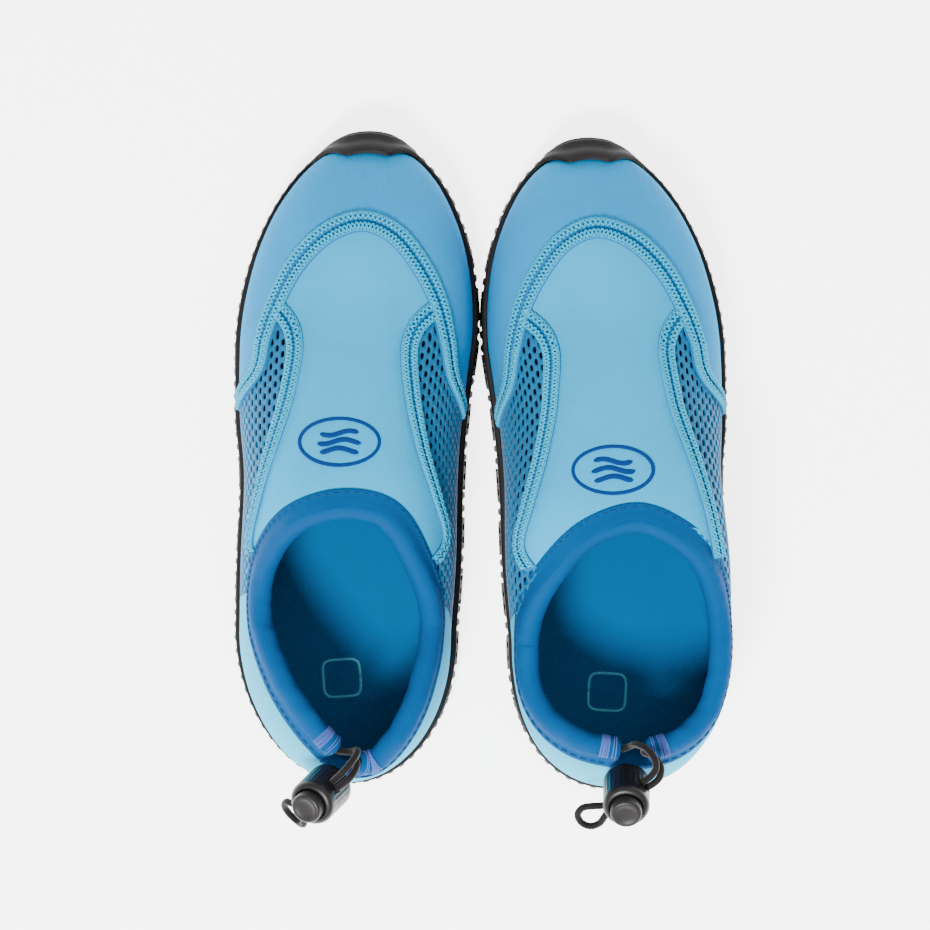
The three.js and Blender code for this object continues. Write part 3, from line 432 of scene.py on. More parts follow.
def ruled(foot, top):
    """Patch between two curves, with straight ends."""
    ends = [line(foot(at)[0], top(at)[0]) for at in (np.zeros(1), np.ones(1))]
    return patch(foot, top, *ends)


def patch(foot, top, start, end):
    """Blend of four edges. u runs along foot and top, v from foot to top."""
    def at(u, v):
        f, t, s, e = foot(u), top(u), start(v), end(v)
        zero, one = np.zeros(1), np.ones(1)
        a, b, c, d = foot(zero)[0], foot(one)[0], top(zero)[0], top(one)[0]
        u, v = np.asarray(u)[..., None], np.asarray(v)[..., None]
        return mix(f, t, v) + mix(s, e, u) - mix(mix(a, b, u), mix(c, d, u), v)
    return at


def collar_lines(shoe):
    """The tunnel's centre line and the wall's edge, both as chart curves round the collar."""
    chart = to_chart(shoe["collar"], shoe)
    poly = centripetal_spline(chart, closed=True)
    centre = lambda u: by_length(poly, np.mod(u, 1))
    at = np.arange(RIM_POINTS) / RIM_POINTS
    here = centre(at)
    along = centre(at + 0.01) - centre(at - 0.01)
    outward = unit(np.stack([-along[:, 1], along[:, 0]], -1))
    home = lift(here, COLLAR_DEPTH, shoe)
    step = np.zeros(RIM_POINTS)
    for _ in range(600):
        gone = np.linalg.norm(lift(here + outward * step[:, None], COLLAR_DEPTH, shoe) - home, axis=1)
        short = gone < TUNNEL_RADIUS + TUNNEL_CLEARANCE
        if not short.any():
            break
        step[short] += 0.05
    rim = centripetal_spline(here + outward * step[:, None], closed=True)
    shares = np.linspace(0, 1, len(rim))
    edge = lambda u: np.stack([np.interp(np.mod(u, 1), shares, rim[:, k]) for k in (0, 1)], -1)
    length = length_of(lift(centre(np.arange(97) / 96 * 0.99999), COLLAR_DEPTH, shoe))
    return {"centre": centre, "edge": edge, "length": length}


def edge_share_at(edge, y, medial):
    shares = np.arange(2001) / 4000 + (0.5 if medial else 0)
    return float(shares[np.argmin(np.abs(edge(shares)[:, 1] - y))])


def step_on_wall(q, direction, distance, depth, shoe):
    """Chart points a real distance away from q along chart directions."""
    home = lift(q, depth, shoe)
    near = np.zeros(q.shape[:-1])
    far = np.full(q.shape[:-1], 4.0) * np.maximum(distance, 1e-9)
    for _ in range(26):
        middle = (near + far) / 2
        gone = np.linalg.norm(lift(q + direction * middle[..., None], depth, shoe) - home, axis=-1)
        short = gone < distance
        near = np.where(short, middle, near)
        far = np.where(short, far, middle)
    return q + direction * near[..., None]


def left_of(curve, u):
    along = curve(u + 0.01) - curve(u - 0.01)
    return unit(np.stack([-along[..., 1], along[..., 0]], -1))


# ---- Meshes ----

def grid_faces(columns, rows, start=0, wrap=False):
    """Faces of a grid of points, column by column; wrap joins the last row to the first."""
    high = rows if wrap else rows + 1
    i, j = np.meshgrid(np.arange(columns), np.arange(rows), indexing="ij")
    up = (j + 1) % high if wrap else j + 1
    quads = np.stack([i * high + j, (i + 1) * high + j, (i + 1) * high + up, i * high + up], -1)
    return (quads.reshape(-1, 4) + start).tolist()


def closed_tube_faces(count, sides):
    """Faces of a tube of count rings, with a face over each end."""
    last = (count - 1) * sides
    ends = [list(range(sides)), [last + k for k in range(sides)]]
    return grid_faces(count - 1, sides, wrap=True) + ends


def make_piece(name, points, faces, materials, shoe, uv=None, sharp=None, weld=False):
    """Object from points of a shoe's plan; uv is one pair of millimetres for each point."""
    mesh = bpy.data.meshes.new(name)
    mesh.from_pydata(placed(np.vstack(points), shoe).tolist(), [], faces)
    for material in materials:
        mesh.materials.append(material)
    obj = add_object(f"{name}_visual", mesh)
    if uv is not None:
        layer = mesh.uv_layers.new(name="cloth")
        corner = np.zeros(len(mesh.loops), int)
        mesh.loops.foreach_get("vertex_index", corner)
        layer.data.foreach_set("uv", (np.asarray(uv)[corner] * MM).ravel())
    tidy = bmesh.new()
    tidy.from_mesh(mesh)
    if weld:
        bmesh.ops.remove_doubles(tidy, verts=tidy.verts, dist=WELD * MM)
    bmesh.ops.recalc_face_normals(tidy, faces=tidy.faces)
    tidy.to_mesh(mesh)
    tidy.free()
    mesh.polygons.foreach_set("use_smooth", [True] * len(mesh.polygons))
    if sharp is not None:
        mesh.set_sharp_from_angle(angle=math.radians(sharp))
    return obj


def spaced(size, step, edge):
    """Shares from 0 to 1 of a size in millimetres, closer together along both ends."""
    rim = np.array([0, 0.25, 0.6, 1.0]) * edge / size
    middle = np.linspace(rim[-1], 1 - rim[-1], max(int(size / step), 2) + 1)
    return np.concatenate([rim[:-1], middle, 1 - rim[:-1][::-1]])


def grid_uv(points):
    """Running lengths along both directions of a grid of points, in millimetres."""
    across = np.linalg.norm(np.diff(points, axis=0), axis=-1).mean(axis=1)
    up = np.linalg.norm(np.diff(points, axis=1), axis=-1)
    u = np.concatenate([[0], np.cumsum(across)])
    v = np.concatenate([np.zeros((len(points), 1)), np.cumsum(up, axis=1)], axis=1)
    return np.stack([np.broadcast_to(u[:, None], v.shape), v], -1)


def shell(outer, inner):
    """Closed sheet between two grids of points. Returns points, faces and uv."""
    columns, rows = outer.shape[0] - 1, outer.shape[1] - 1
    count = outer.shape[0] * outer.shape[1]
    faces = grid_faces(columns, rows) + grid_faces(columns, rows, count)
    high = rows + 1
    rim = [i * high for i in range(columns + 1)]
    rim += [columns * high + j for j in range(1, high)]
    rim += [i * high + rows for i in range(columns - 1, -1, -1)]
    rim += [j for j in range(rows - 1, 0, -1)]
    faces += [[a, b, b + count, a + count] for a, b in zip(rim, rim[1:] + rim[:1])]
    points = np.vstack([outer.reshape(-1, 3), inner.reshape(-1, 3)])
    uv = grid_uv(outer).reshape(-1, 2)
    return points, faces, np.vstack([uv, uv])


def frames_along(points, up):
    """Tangents and two crosswise directions along a line; up is a rough direction for each."""
    tangent = unit(np.gradient(points, axis=0))
    up = np.broadcast_to(np.asarray(up, float), points.shape)
    lifted = unit(up - tangent * (up * tangent).sum(-1, keepdims=True))
    return tangent, lifted, np.cross(tangent, lifted)


def carried_frames(points):
    """Crosswise directions carried along a line without turning about it."""
    tangent = unit(np.gradient(points, axis=0))
    side = unit(np.cross(tangent[0], (0.3, 0.5, 0.8)))
    sides = [side]
    for t in tangent[1:]:
        side = unit(side - t * np.dot(side, t))
        sides.append(side)
    sides = np.array(sides)
    return tangent, sides, np.cross(tangent, sides)


class Bundle:
    """Several closed parts gathered into one piece."""

    def __init__(self):
        self.points = []
        self.faces = []
        self.uv = []
        self.count = 0

    def add(self, points, faces, uv=None):
        points = np.asarray(points, float).reshape(-1, 3)
        self.points.append(points)
        self.faces += [[i + self.count for i in face] for face in faces]
        self.uv.append(np.zeros((len(points), 2)) if uv is None else np.asarray(uv).reshape(-1, 2))
        self.count += len(points)

    def tube(self, path, radius, sides, pattern=None):
        """Tube with closed, rounded ends; pattern(along, angle) scales its radius."""
        path = np.asarray(path, float)
        _, a, b = carried_frames(path)
        run = run_along(path)
        angle = np.arange(sides) / sides * 2 * math.pi
        size = np.full((len(path), sides), float(radius))
        if pattern is not None:
            size = size * pattern(run[:, None], angle[None, :])
        size[0] *= 0.5
        size[-1] *= 0.5
        ring = a[:, None] * np.cos(angle)[None, :, None] + b[:, None] * np.sin(angle)[None, :, None]
        points = path[:, None] + ring * size[..., None]
        uv = np.stack(np.broadcast_arrays(run[:, None], angle[None, :] * radius), -1)
        self.add(points, closed_tube_faces(len(path), sides), uv)

    def piece(self, name, materials, shoe, sharp=None, weld=False):
        uv = np.vstack(self.uv)
        return make_piece(name, self.points, self.faces, materials, shoe, uv, sharp, weld)


def stand_for(obj, shoe, node, body=None):
    """Puts a piece on its body in place of a CAD node."""
    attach(obj, body or f"{shoe['name']}_shoe")
    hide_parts(f"{shoe['name']}_{node}")
    return obj


# ======== Materials ========

class Nodes:
    """Shorthand for building a node tree."""

    def __init__(self, name):
        self.material = bpy.data.materials.new(name)
        self.material.use_nodes = True
        self.tree = self.material.node_tree
        self.shader = self.tree.nodes["Principled BSDF"]

    def node(self, kind, **values):
        node = self.tree.nodes.new(kind)
        for key, value in values.items():
            setattr(node, key, value)
        return node

    def link(self, source, target):
        self.tree.links.new(source, target)

    def math(self, operation, *inputs):
        node = self.node("ShaderNodeMath", operation=operation)
        for socket, value in zip(node.inputs, inputs):
            if isinstance(value, (int, float)):
                socket.default_value = value
            else:
                self.link(value, socket)
        return node.outputs[0]

    def cloth(self):
        """u and v in metres along the cloth."""
        uv = self.node("ShaderNodeUVMap", uv_map="cloth")
        split = self.node("ShaderNodeSeparateXYZ")
        self.link(uv.outputs[0], split.inputs[0])
        return split.outputs[0], split.outputs[1]

    def noise(self, scale, detail=3.0, roughness=0.5):
        """Noise fixed to the object; scale is in features a metre."""
        where = self.node("ShaderNodeTexCoord")
        noise = self.node("ShaderNodeTexNoise")
        noise.inputs["Scale"].default_value = scale
        noise.inputs["Detail"].default_value = detail
        noise.inputs["Roughness"].default_value = roughness
        self.link(where.outputs["Object"], noise.inputs["Vector"])
        return noise.outputs["Fac"]

    def wave(self, coordinate, pitch):
        """Sine of a coordinate in metres, with a pitch in metres, from -1 to 1."""
        turns = self.math("MULTIPLY_ADD", coordinate, 2 * math.pi / pitch, 0.0)
        return self.math("SINE", turns)

    def ramp(self, factor, stops):
        node = self.node("ShaderNodeValToRGB")
        ramp = node.color_ramp
        for _ in stops[2:]:
            ramp.elements.new(0.5)
        for element, (at, colour) in zip(ramp.elements, stops):
            element.position = at
            element.color = (*colour, 1)
        self.link(factor, node.inputs[0])
        return node.outputs[0]

    def feed(self, colour, roughness=None, normal=None, **constants):
        """Sources for the shader, and constants straight on its sockets, by name."""
        sources = {"Base Color": colour, "Roughness": roughness, "Normal": normal}
        for socket, source in sources.items():
            if source is not None:
                self.link(source, self.shader.inputs[socket])
        self.set(**constants)
        return self.material

    def set(self, **constants):
        for socket, value in constants.items():
            self.shader.inputs[socket.replace("_", " ")].default_value = value

    def bump(self, height, distance, strength=1.0, normal=None):
        node = self.node("ShaderNodeBump")
        node.inputs["Strength"].default_value = strength
        node.inputs["Distance"].default_value = distance
        self.link(height, node.inputs["Height"])
        if normal is not None:
            self.link(normal, node.inputs["Normal"])
        return node.outputs[0]


def linear(colour):
    """Screen colour, 0 to 255, as a shader colour."""
    c = np.array(colour) / 255
    return tuple(float(v) for v in np.where(c <= 0.04045, c / 12.92, ((c + 0.055) / 1.055) ** 2.4))


def tones(colour, factors):
    base = np.array(linear(colour))
    return [tuple(np.clip(base * f, 0, 1)) for f in factors]


def knit(name, colour, pitch=0.0009, depth=0.00012, groove_shade=0.14, sheen=0.08, dirt=0.06, fold=0.00035):
    """Knitted jersey: rows of small V stitches with painted shade in their valleys, slow random tone changes
    and soft creases.
    """
    n = Nodes(name)
    u, v = n.cloth()
    row = n.wave(v, pitch * 0.8)
    lean = n.math("MULTIPLY", row, pitch * 0.22)
    wale = n.wave(n.math("ADD", u, lean), pitch)
    stitch = n.math("ADD", n.math("MULTIPLY", wale, 0.32), n.math("MULTIPLY_ADD", row, 0.18, 0.5))
    slow = n.noise(38, 4)
    fuzz = n.noise(2600, 2, 0.7)
    # Colour: painted shade darkens the stitch valleys; slow noise adds random dirt tone and fuzz a fine fibre
    # tone.
    shade = n.math("ADD", n.math("MULTIPLY", stitch, groove_shade), n.math("MULTIPLY", slow, dirt * 2))
    shade = n.math("ADD", shade, n.math("MULTIPLY", fuzz, 0.10))
    low = 0.25 * groove_shade + 0.7 * dirt + 0.03
    high = 0.75 * groove_shade + 1.3 * dirt + 0.07
    dark, light = tones(colour, (0.90, 1.08))
    soft = n.bump(n.noise(95, 3, 0.55), fold, 0.5)
    fine = n.math("ADD", stitch, n.math("MULTIPLY", fuzz, 0.4))
    return n.feed(
        n.ramp(shade, [(low, dark), (high, light)]),
        n.math("MULTIPLY_ADD", slow, 0.12, 0.76),
        n.bump(fine, depth, 0.8, soft),
        Specular_IOR_Level=0.12,
        Sheen_Weight=sheen,
        Sheen_Roughness=0.45,
        Sheen_Tint=(*tones(colour, (1.25,))[0], 1),
    )


def strands(name, colour, pitch=0.0006, groove_shade=0.3, sheen=0.1):
    """Twisted thread: slanting plies along its length, with painted shade in the grooves between them."""
    n = Nodes(name)
    u, v = n.cloth()
    ply = n.wave(n.math("ADD", u, v), pitch)
    fuzz = n.noise(3200, 2, 0.7)
    mixed = n.math("ADD", n.math("MULTIPLY_ADD", ply, 0.3, 0.35), n.math("MULTIPLY", fuzz, 0.3))
    # The ramp follows the ply wave of the bump, so the grooves are painted darker: painted shade; fuzz adds
    # random tone.
    dark, light = tones(colour, (1 - groove_shade, 1 + groove_shade * 0.6))
    return n.feed(
        n.ramp(mixed, [(0.15, dark), (0.85, light)]),
        n.math("MULTIPLY_ADD", fuzz, 0.15, 0.63),
        n.bump(mixed, 0.00008, 0.8),
        Specular_IOR_Level=0.15,
        Sheen_Weight=sheen,
        Sheen_Roughness=0.4,
    )


def rubber(name, colour):
    """Moulded rubber: fine pebble, dusty high spots and paler scuffs."""
    n = Nodes(name)
    pebble = n.noise(1700, 3, 0.6)
    cloud = n.noise(60, 5, 0.6)
    scuff = n.math("MULTIPLY", n.noise(240, 6, 0.75), cloud)
    dark, light, dust = tones(colour, (0.8, 1.25, 2.4))
    return n.feed(
        n.ramp(scuff, [(0.18, dark), (0.32, light), (0.52, dust)]),
        n.math("MULTIPLY_ADD", cloud, 0.3, 0.45),
        n.bump(pebble, 0.00012, 0.7, n.bump(cloud, 0.0004, 0.3)),
        Specular_IOR_Level=0.2,
    )


def plastic(name, colour, rough=0.38):
    """Injection-moulded plastic with a fine spark texture and light handling marks."""
    n = Nodes(name)
    grain = n.noise(2600, 2, 0.5)
    cloud = n.noise(150, 4, 0.6)
    dark, light = tones(colour, (0.8, 1.3))
    return n.feed(
        n.ramp(cloud, [(0.3, dark), (0.7, light)]),
        n.math("MULTIPLY_ADD", cloud, 0.25, rough - 0.1),
        n.bump(grain, 0.00004, 0.6),
        Specular_IOR_Level=0.3,
        Coat_Weight=0.08,
        Coat_Roughness=0.3,
    )


def metal(name, colour):
    n = Nodes(name)
    grain = n.noise(1800, 3)
    dark, light = tones(colour, (0.75, 1.1))
    rough = n.math("MULTIPLY_ADD", grain, 0.2, 0.25)
    return n.feed(n.ramp(grain, [(0.3, dark), (0.7, light)]), rough, Metallic=1.0)


def board(name, colour):
    """Felted fibre board."""
    n = Nodes(name)
    felt = n.noise(900, 6, 0.8)
    dark, light = tones(colour, (0.7, 1.3))
    n.set(Roughness=0.95)
    return n.feed(n.ramp(felt, [(0.35, dark), (0.65, light)]), normal=n.bump(felt, 0.0002, 0.8))


def make_materials():
    return {
        # Knit and strand colours below darken stitch valleys and ply grooves as painted shade.
        "toe": knit("toe_jersey", (0, 134, 190)),
        "vamp": knit("vamp_jersey", (0, 158, 206)),
        "heel": knit("heel_jersey", (50, 176, 210)),
        "lining": knit("lining_jersey", (0, 58, 104), pitch=0.0011, groove_shade=0.2, dirt=0.1),
        "insole": knit("insole_jersey", (0, 84, 136), pitch=0.0012, groove_shade=0.18),
        "insole_print": knit("insole_print", (90, 176, 200), pitch=0.0012, groove_shade=0.1),
        "tape": knit("tape_jersey", (0, 104, 158), pitch=0.0008, groove_shade=0.2),
        "tape_thread": strands("tape_thread", (0, 166, 204)),
        "net": strands("net_strand", (0, 98, 142), pitch=0.0007, groove_shade=0.35),
        # Dark sheet under the mesh holes: painted shade.
        "hole_shade": knit("net_hole_shade", (4, 28, 66), pitch=0.0012, groove_shade=0.25, sheen=0.2),
        "binding": knit("binding_jersey", (0, 68, 120), pitch=0.0007, depth=0.0001, fold=0.0005),
        "binding_thread": strands("binding_thread", (0, 66, 112)),
        "cord": strands("cord_braid", (17, 14, 14), pitch=0.0009, groove_shade=0.45, sheen=0.2),
        "tack": strands("tack_thread", (70, 98, 172), groove_shade=0.25),
        "emblem": knit("emblem_print", (0, 48, 112), pitch=0.0009, groove_shade=0.1, sheen=0.1),
        "sole": rubber("sole_rubber", (17, 14, 14)),
        "barrel": plastic("barrel_plastic", (13, 11, 11)),
        "button": plastic("button_plastic", (22, 20, 19), 0.45),
        "steel": metal("spring_wire", (170, 172, 176)),
        "board": board("board_felt", (58, 64, 72)),
    }


# ======== Pieces of the upper ========

def upper_layout(shoe, collar):
    """The patches and seams of the upper, as chart functions."""
    station = lambda y, medial: side_station(y, medial) - (STATIONS if medial else 0)
    foot = lambda s: outline_at(np.asarray(s), FEATHER_OUT, shoe)
    sides = ("lateral", "medial")
    toe_from = side_station(TOE_SEAM_END_Y["lateral"], False)
    toe_to = side_station(TOE_SEAM_END_Y["medial"], True)
    ends = [outline_at(np.array([s]), 1, shoe)[0] for s in (toe_from, toe_to)]
    toe_seam = chart_curve(TOE_SEAM, shoe, ends[0], ends[1])
    joint = {k: toe_seam(np.array([SEAM_JOINT[k]]))[0] for k in sides}
    corner = {k: edge_share_at(collar["edge"], SEAM_COLLAR_Y[k], k == "medial") for k in sides}
    heel_top = {k: edge_share_at(collar["edge"], HEEL_SEAM_TOP_Y[k], k == "medial") for k in sides}
    heel_foot = {k: station(HEEL_SEAM_FOOT_Y[k], k == "medial") for k in sides}
    seam = {}
    for k in sides:
        end = collar["edge"](np.array([corner[k]]))[0]
        seam[k] = chart_curve(VAMP_SEAM[k], shoe, joint[k], end)

    toe_foot = lambda u: foot(mix(toe_from, toe_to, u))
    toe_sides = [line(toe_foot(at)[0], end) for at, end in zip((np.zeros(1), np.ones(1)), ends)]
    toe = patch(toe_foot, toe_seam, *toe_sides)
    vamp_back = lambda u: collar["edge"](mix(corner["lateral"], corner["medial"], u))
    vamp_front = stretch(toe_seam, SEAM_JOINT["lateral"], SEAM_JOINT["medial"])
    vamp = patch(vamp_front, vamp_back, seam["lateral"], seam["medial"])

    net = {}
    for k, start, end, seam_from in (("lateral", toe_from, ends[0], 0), ("medial", toe_to, ends[1], 1)):
        stop = heel_foot[k] + (STATIONS if k == "medial" else 0)
        side = np.linspace(0, 1, 80)
        besides = stretch(toe_seam, seam_from, SEAM_JOINT[k])(side)
        top = collar["edge"](mix(corner[k], heel_top[k], side))
        bottom = foot(mix(start, stop, side))
        net[k] = np.vstack([besides, seam[k](side), top, bottom[::-1]])

    heel_line = lambda u: foot(mix(heel_foot["lateral"], heel_foot["medial"], u))
    heel_edge = lambda u: collar["edge"](mix(heel_top["lateral"], heel_top["medial"] - 1, u))
    heel = ruled(heel_line, heel_edge)
    lining_line = lambda u: foot(mix(station(LINING_FRONT_Y, False), station(LINING_FRONT_Y, True), u))
    lining_edge = lambda u: collar["edge"](mix(0.4999, -0.4999, u))
    lining = ruled(lining_line, lining_edge)
    return {"toe": toe, "vamp": vamp, "heel": heel, "lining": lining, "net": net,
            "toe_seam": toe_seam, "seam": seam}


def soft_wave(points, size):
    """Slow, shallow unevenness of hand-lasted foam, in millimetres."""
    x, y, z = points[..., 0], points[..., 1], points[..., 2]
    a = np.sin(x / 8.3 + 0.6 * np.sin(y / 11)) * np.sin(y / 9.1 + z / 13)
    b = np.sin(y / 4.7 + x / 6.1 + 1.3) * np.sin(z / 5.3 - x / 7.7)
    return size * (0.7 * a + 0.3 * b)


def panel(name, at, size, shoe, material, thickness=NEOPRENE, top=0.0, unevenness=0.18):
    """Foam panel with rolled edges; size is its rough length and height in millimetres."""
    u, v = np.meshgrid(spaced(size[0], PANEL_STEP, ROLL_WIDTH), spaced(size[1], PANEL_STEP, ROLL_WIDTH),
                       indexing="ij")
    chart = at(u, v)
    edge = np.minimum(np.minimum(u, 1 - u) * size[0], np.minimum(v, 1 - v) * size[1])
    rolled = np.clip(1 - edge / ROLL_WIDTH, 0, 1)
    depth = top + ROLL_DEPTH * (1 - np.sqrt(np.maximum(1 - rolled**2, 0)))
    base = lift(chart, top, shoe)
    calm = np.clip(edge / 8, 0, 1)
    outer = lift(chart, depth - soft_wave(base, unevenness) * calm, shoe)
    inner = lift(chart, top + thickness, shoe)
    points, faces, uv = shell(outer, inner)
    return make_piece(f"{shoe['name']}_{name}", [points], faces, [material], shoe, uv)


def inside(chart, polygon):
    """Which chart points lie inside a polygon."""
    x, y = chart[:, 0][:, None], chart[:, 1][:, None]
    ax, ay = polygon[:, 0][None], polygon[:, 1][None]
    bx, by = np.roll(polygon[:, 0], -1)[None], np.roll(polygon[:, 1], -1)[None]
    straddles = (ay > y) != (by > y)
    run = np.where(np.abs(by - ay) < 1e-12, 1e-12, by - ay)
    crosses = x < (bx - ax) * (y - ay) / run + ax
    return (straddles & crosses).sum(axis=1) % 2 == 1


def net_panel(side, layout, shoe, material, hole_shade):
    """Open mesh with real holes, over a dark sheet whose colour is painted shade seen through the holes."""
    polygon = layout["net"][side]
    sign = 1 if side == "medial" else -1
    low_y, high_y = polygon[:, 1].min() - 6, polygon[:, 1].max() + 6
    columns = int((high_y - low_y) / MESH_PITCH) + 1
    climb = lift(outline_at(np.full(41, side_station(115, sign > 0)), np.linspace(1, 0.5, 41), shoe), 0, shoe)
    row_out = MESH_ROW / (length_of(climb) / 0.5)
    rows = int(0.85 / row_out)

    def chart_at(column, row):
        y = low_y + column * MESH_PITCH
        out = 1.16 - row * row_out
        return np.stack([spine_x(y) + sign * half_width(y) * out, y], -1)

    ring = [(0, 0), (0.5, 0), (1, 0), (1, 0.5), (1, 1), (0.5, 1), (0, 1), (0, 0.5)]
    angle = math.radians(-135) + np.arange(8) * math.pi / 4
    hole = [(0.5 + MESH_HOLE[0] * math.cos(a), 0.5 + MESH_HOLE[1] * math.sin(a)) for a in angle]
    spots = []
    depths = []
    shared = {}
    faces = []
    for row in range(rows):
        for column in range(columns):
            left = column + (row % 2) * 0.5
            corners = chart_at(left + np.array([0, 1, 1, 0, 0.5]), row + np.array([0, 0, 1, 1, 0.5]))
            if not inside(corners, polygon).any():
                continue
            outer = []
            for a, b in ring:
                key = (round(2 * (left + a)), round(2 * (row + b)))
                if key not in shared:
                    shared[key] = len(spots)
                    spots.append((left + a, row + b))
                    depths.append(MESH_DEPTH - 0.25)
                outer.append(shared[key])
            inner = list(range(len(spots), len(spots) + 8))
            spots += [(left + a, row + b) for a, b in hole]
            depths += [MESH_DEPTH + 0.1] * 8
            faces += [[outer[k], outer[(k + 1) % 8], inner[(k + 1) % 8], inner[k]] for k in range(8)]
    spots = np.array(spots)
    chart = chart_at(spots[:, 0], spots[:, 1])
    points = lift(chart, np.array(depths), shoe)
    uv = spots * [MESH_PITCH, MESH_ROW]
    net = make_piece(f"{shoe['name']}_{side}_mesh", [points], faces, [material], shoe, uv)
    thick = net.modifiers.new("strand", "SOLIDIFY")
    thick.thickness = MESH_STRAND * MM
    thick.offset = 0
    round_off = net.modifiers.new("round", "SUBSURF")
    round_off.levels = 1
    round_off.render_levels = 1

    # Dark sheet under the net: painted shade for the holes.
    y = np.linspace(low_y + 3, high_y - 3, 50)
    out = np.linspace(1.12, 0.42, 26)
    grid_y, grid_out = np.meshgrid(y, out, indexing="ij")
    cloth = np.stack([spine_x(grid_y) + sign * half_width(grid_y) * grid_out, grid_y], -1)
    keep = inside(cloth.reshape(-1, 2), polygon)
    points, faces, uv = shell(lift(cloth, 2.0, shoe), lift(cloth, 2.6, shoe))
    count = len(keep)
    kept = [face for face in faces if any(keep[i % count] for i in face)]
    under = make_piece(f"{shoe['name']}_{side}_mesh_hole_shade", [points], kept, [hole_shade], shoe, uv)
    return net, under


def tape(name, seam, spec, shoe, cloth, thread):
    """Flatlock tape: a low band with ridged edges and crossing rows of zigzag thread."""
    half = spec["width"] / 2
    curve = lift(seam(np.linspace(*spec["span"], 200)), 0, shoe)
    length = length_of(curve)
    at = np.linspace(*spec["span"], int(length / 0.8) + 1)
    base, away = seam(at), left_of(seam, at)
    across = np.array([-1, -0.98, -0.9, -0.78, -0.6, -0.4, -0.18, 0, 0.18, 0.4, 0.6, 0.78, 0.9, 0.98, 1])
    height = np.array([-0.3, 0.45, 0.85, 0.95, 1.0, 0.85, 0.35, 0.2, 0.35, 0.85, 1.0, 0.95, 0.85, 0.45, -0.3])
    direction = np.sign(across)[None, :, None] * away[:, None, :]
    distance = np.abs(across)[None, :] * half * np.ones((len(at), 1))
    spots = step_on_wall(np.broadcast_to(base[:, None], direction.shape), direction, distance, 0, shoe)
    run = np.linspace(0, length, len(at))[:, None]
    pucker = 0.07 * np.sin(run / 3.1 * 2 * math.pi) * np.abs(across)[None, :]
    taper = smoothstep(run, 0, 1.5) * smoothstep(length - run, 0, 1.5)
    rise = (height[None, :] * spec["rise"] + pucker) * taper - 0.3 * (1 - taper)
    outer = lift(spots, -rise, shoe)
    inner = lift(spots, 0.6, shoe)
    points, faces, uv = shell(outer, inner)
    band = make_piece(f"{shoe['name']}_{name}", [points], faces, [cloth], shoe, uv)

    def sew(offset, height, radius, sides):
        toward = np.where(offset[:, None] < 0, -side, side)
        spot = step_on_wall(middle, toward, np.abs(offset), 0, shoe)
        stitches.tube(lift(spot, -height, shoe), radius, sides)

    stitches = Bundle()
    count = int(length / 0.28)
    share = np.linspace(0.01, 0.99, count)
    along = share * length
    centre = mix(spec["span"][0], spec["span"][1], share)
    middle, side = seam(centre), left_of(seam, centre)
    for row in (-STITCH_ROW, STITCH_ROW):
        for phase, height in ((0.0, 0.42), (0.5, 0.2)):
            swing = np.arcsin(0.96 * np.sin(2 * math.pi * (along / STITCH_PITCH + phase))) / 1.29
            bow = 0.3 * np.cos(swing * math.pi / 2)
            sew(half * (row + STITCH_SWING * swing), spec["rise"] * 0.8 + height + bow * 0.6,
                STITCH_THREAD, 6)
    for edge in (-0.93, 0.93):
        dip = 0.18 * np.cos(2 * math.pi * along / (STITCH_PITCH / 2))
        sew(np.full(count, edge * half), spec["rise"] * 0.75 + 0.1 + dip, 0.3, 5)
    sewn = stitches.piece(f"{shoe['name']}_{name}_stitches", [thread], shoe)
    return band, sewn


def emblem(shoe, material):
    """Welded oval ring with three plain waves in it; the waves stand in for an obscured print."""
    shapes = Bundle()
    cx, cy = shoe["emblem"]

    def strip(plan, width):
        """Low rounded strip along plan points laid on the vamp."""
        closed = np.allclose(plan[0], plan[-1])
        along = np.gradient(plan, axis=0)
        if closed:
            along[0] = along[-1] = plan[1] - plan[-2]
        side = unit(np.stack([-along[:, 1], along[:, 0]], -1))
        taper = np.ones(len(plan))
        if not closed:
            run = np.linspace(0, 1, len(plan))
            taper = np.sqrt(np.clip(np.minimum(run, 1 - run) * 12, 0.05, 1))
        across = np.array([-1, -0.8, 0, 0.8, 1])
        rise = np.array([-0.3, 0.32, 0.42, 0.32, -0.3])
        spots = plan[:, None] + side[:, None] * (across[None, :] * taper[:, None] * width / 2)[..., None]
        top = lift(to_chart(spots, shoe), -np.broadcast_to(rise, spots.shape[:2]) - 0.02, shoe)
        under = lift(to_chart(spots, shoe), 0.5, shoe)
        points, faces, uv = shell(top, under)
        shapes.add(points, faces, uv)

    angle = np.linspace(0, 2 * math.pi, 121)
    strip(np.stack([cx + EMBLEM_HALF[0] * np.cos(angle), cy + EMBLEM_HALF[1] * np.sin(angle)], -1),
          EMBLEM_LINE)
    for k, (reach, lift_y) in enumerate(WAVES):
        x = np.linspace(-reach, reach, 61)
        y = lift_y + WAVE_HEIGHT * np.sin(x / 2.6 + 0.8 * k)
        strip(np.stack([cx + x, cy + y], -1), WAVE_LINE)
    return shapes.piece(f"{shoe['name']}_emblem", [material], shoe)


# ======== Collar, cord and lock ========

def tunnel_line(shoe, collar, count):
    gap = shoe["tunnel_gap"] / collar["length"] / 2
    share = np.linspace(gap, 1 - gap, count)
    centre = lift(collar["centre"](share), COLLAR_DEPTH, shoe)
    edge = lift(collar["edge"](share), COLLAR_DEPTH, shoe)
    outside = lift(collar["centre"](share), COLLAR_DEPTH - 1, shoe) - centre
    return centre, centre - edge, outside


def tunnel_frames(shoe, collar, count):
    """The tunnel's centre line with its tangent, upward and outward directions."""
    centre, up, outside = tunnel_line(shoe, collar, count)
    tangent, rise, side = frames_along(centre, up)
    side = np.where((side * outside).sum(-1, keepdims=True) < 0, -side, side)
    return centre, tangent, rise, side


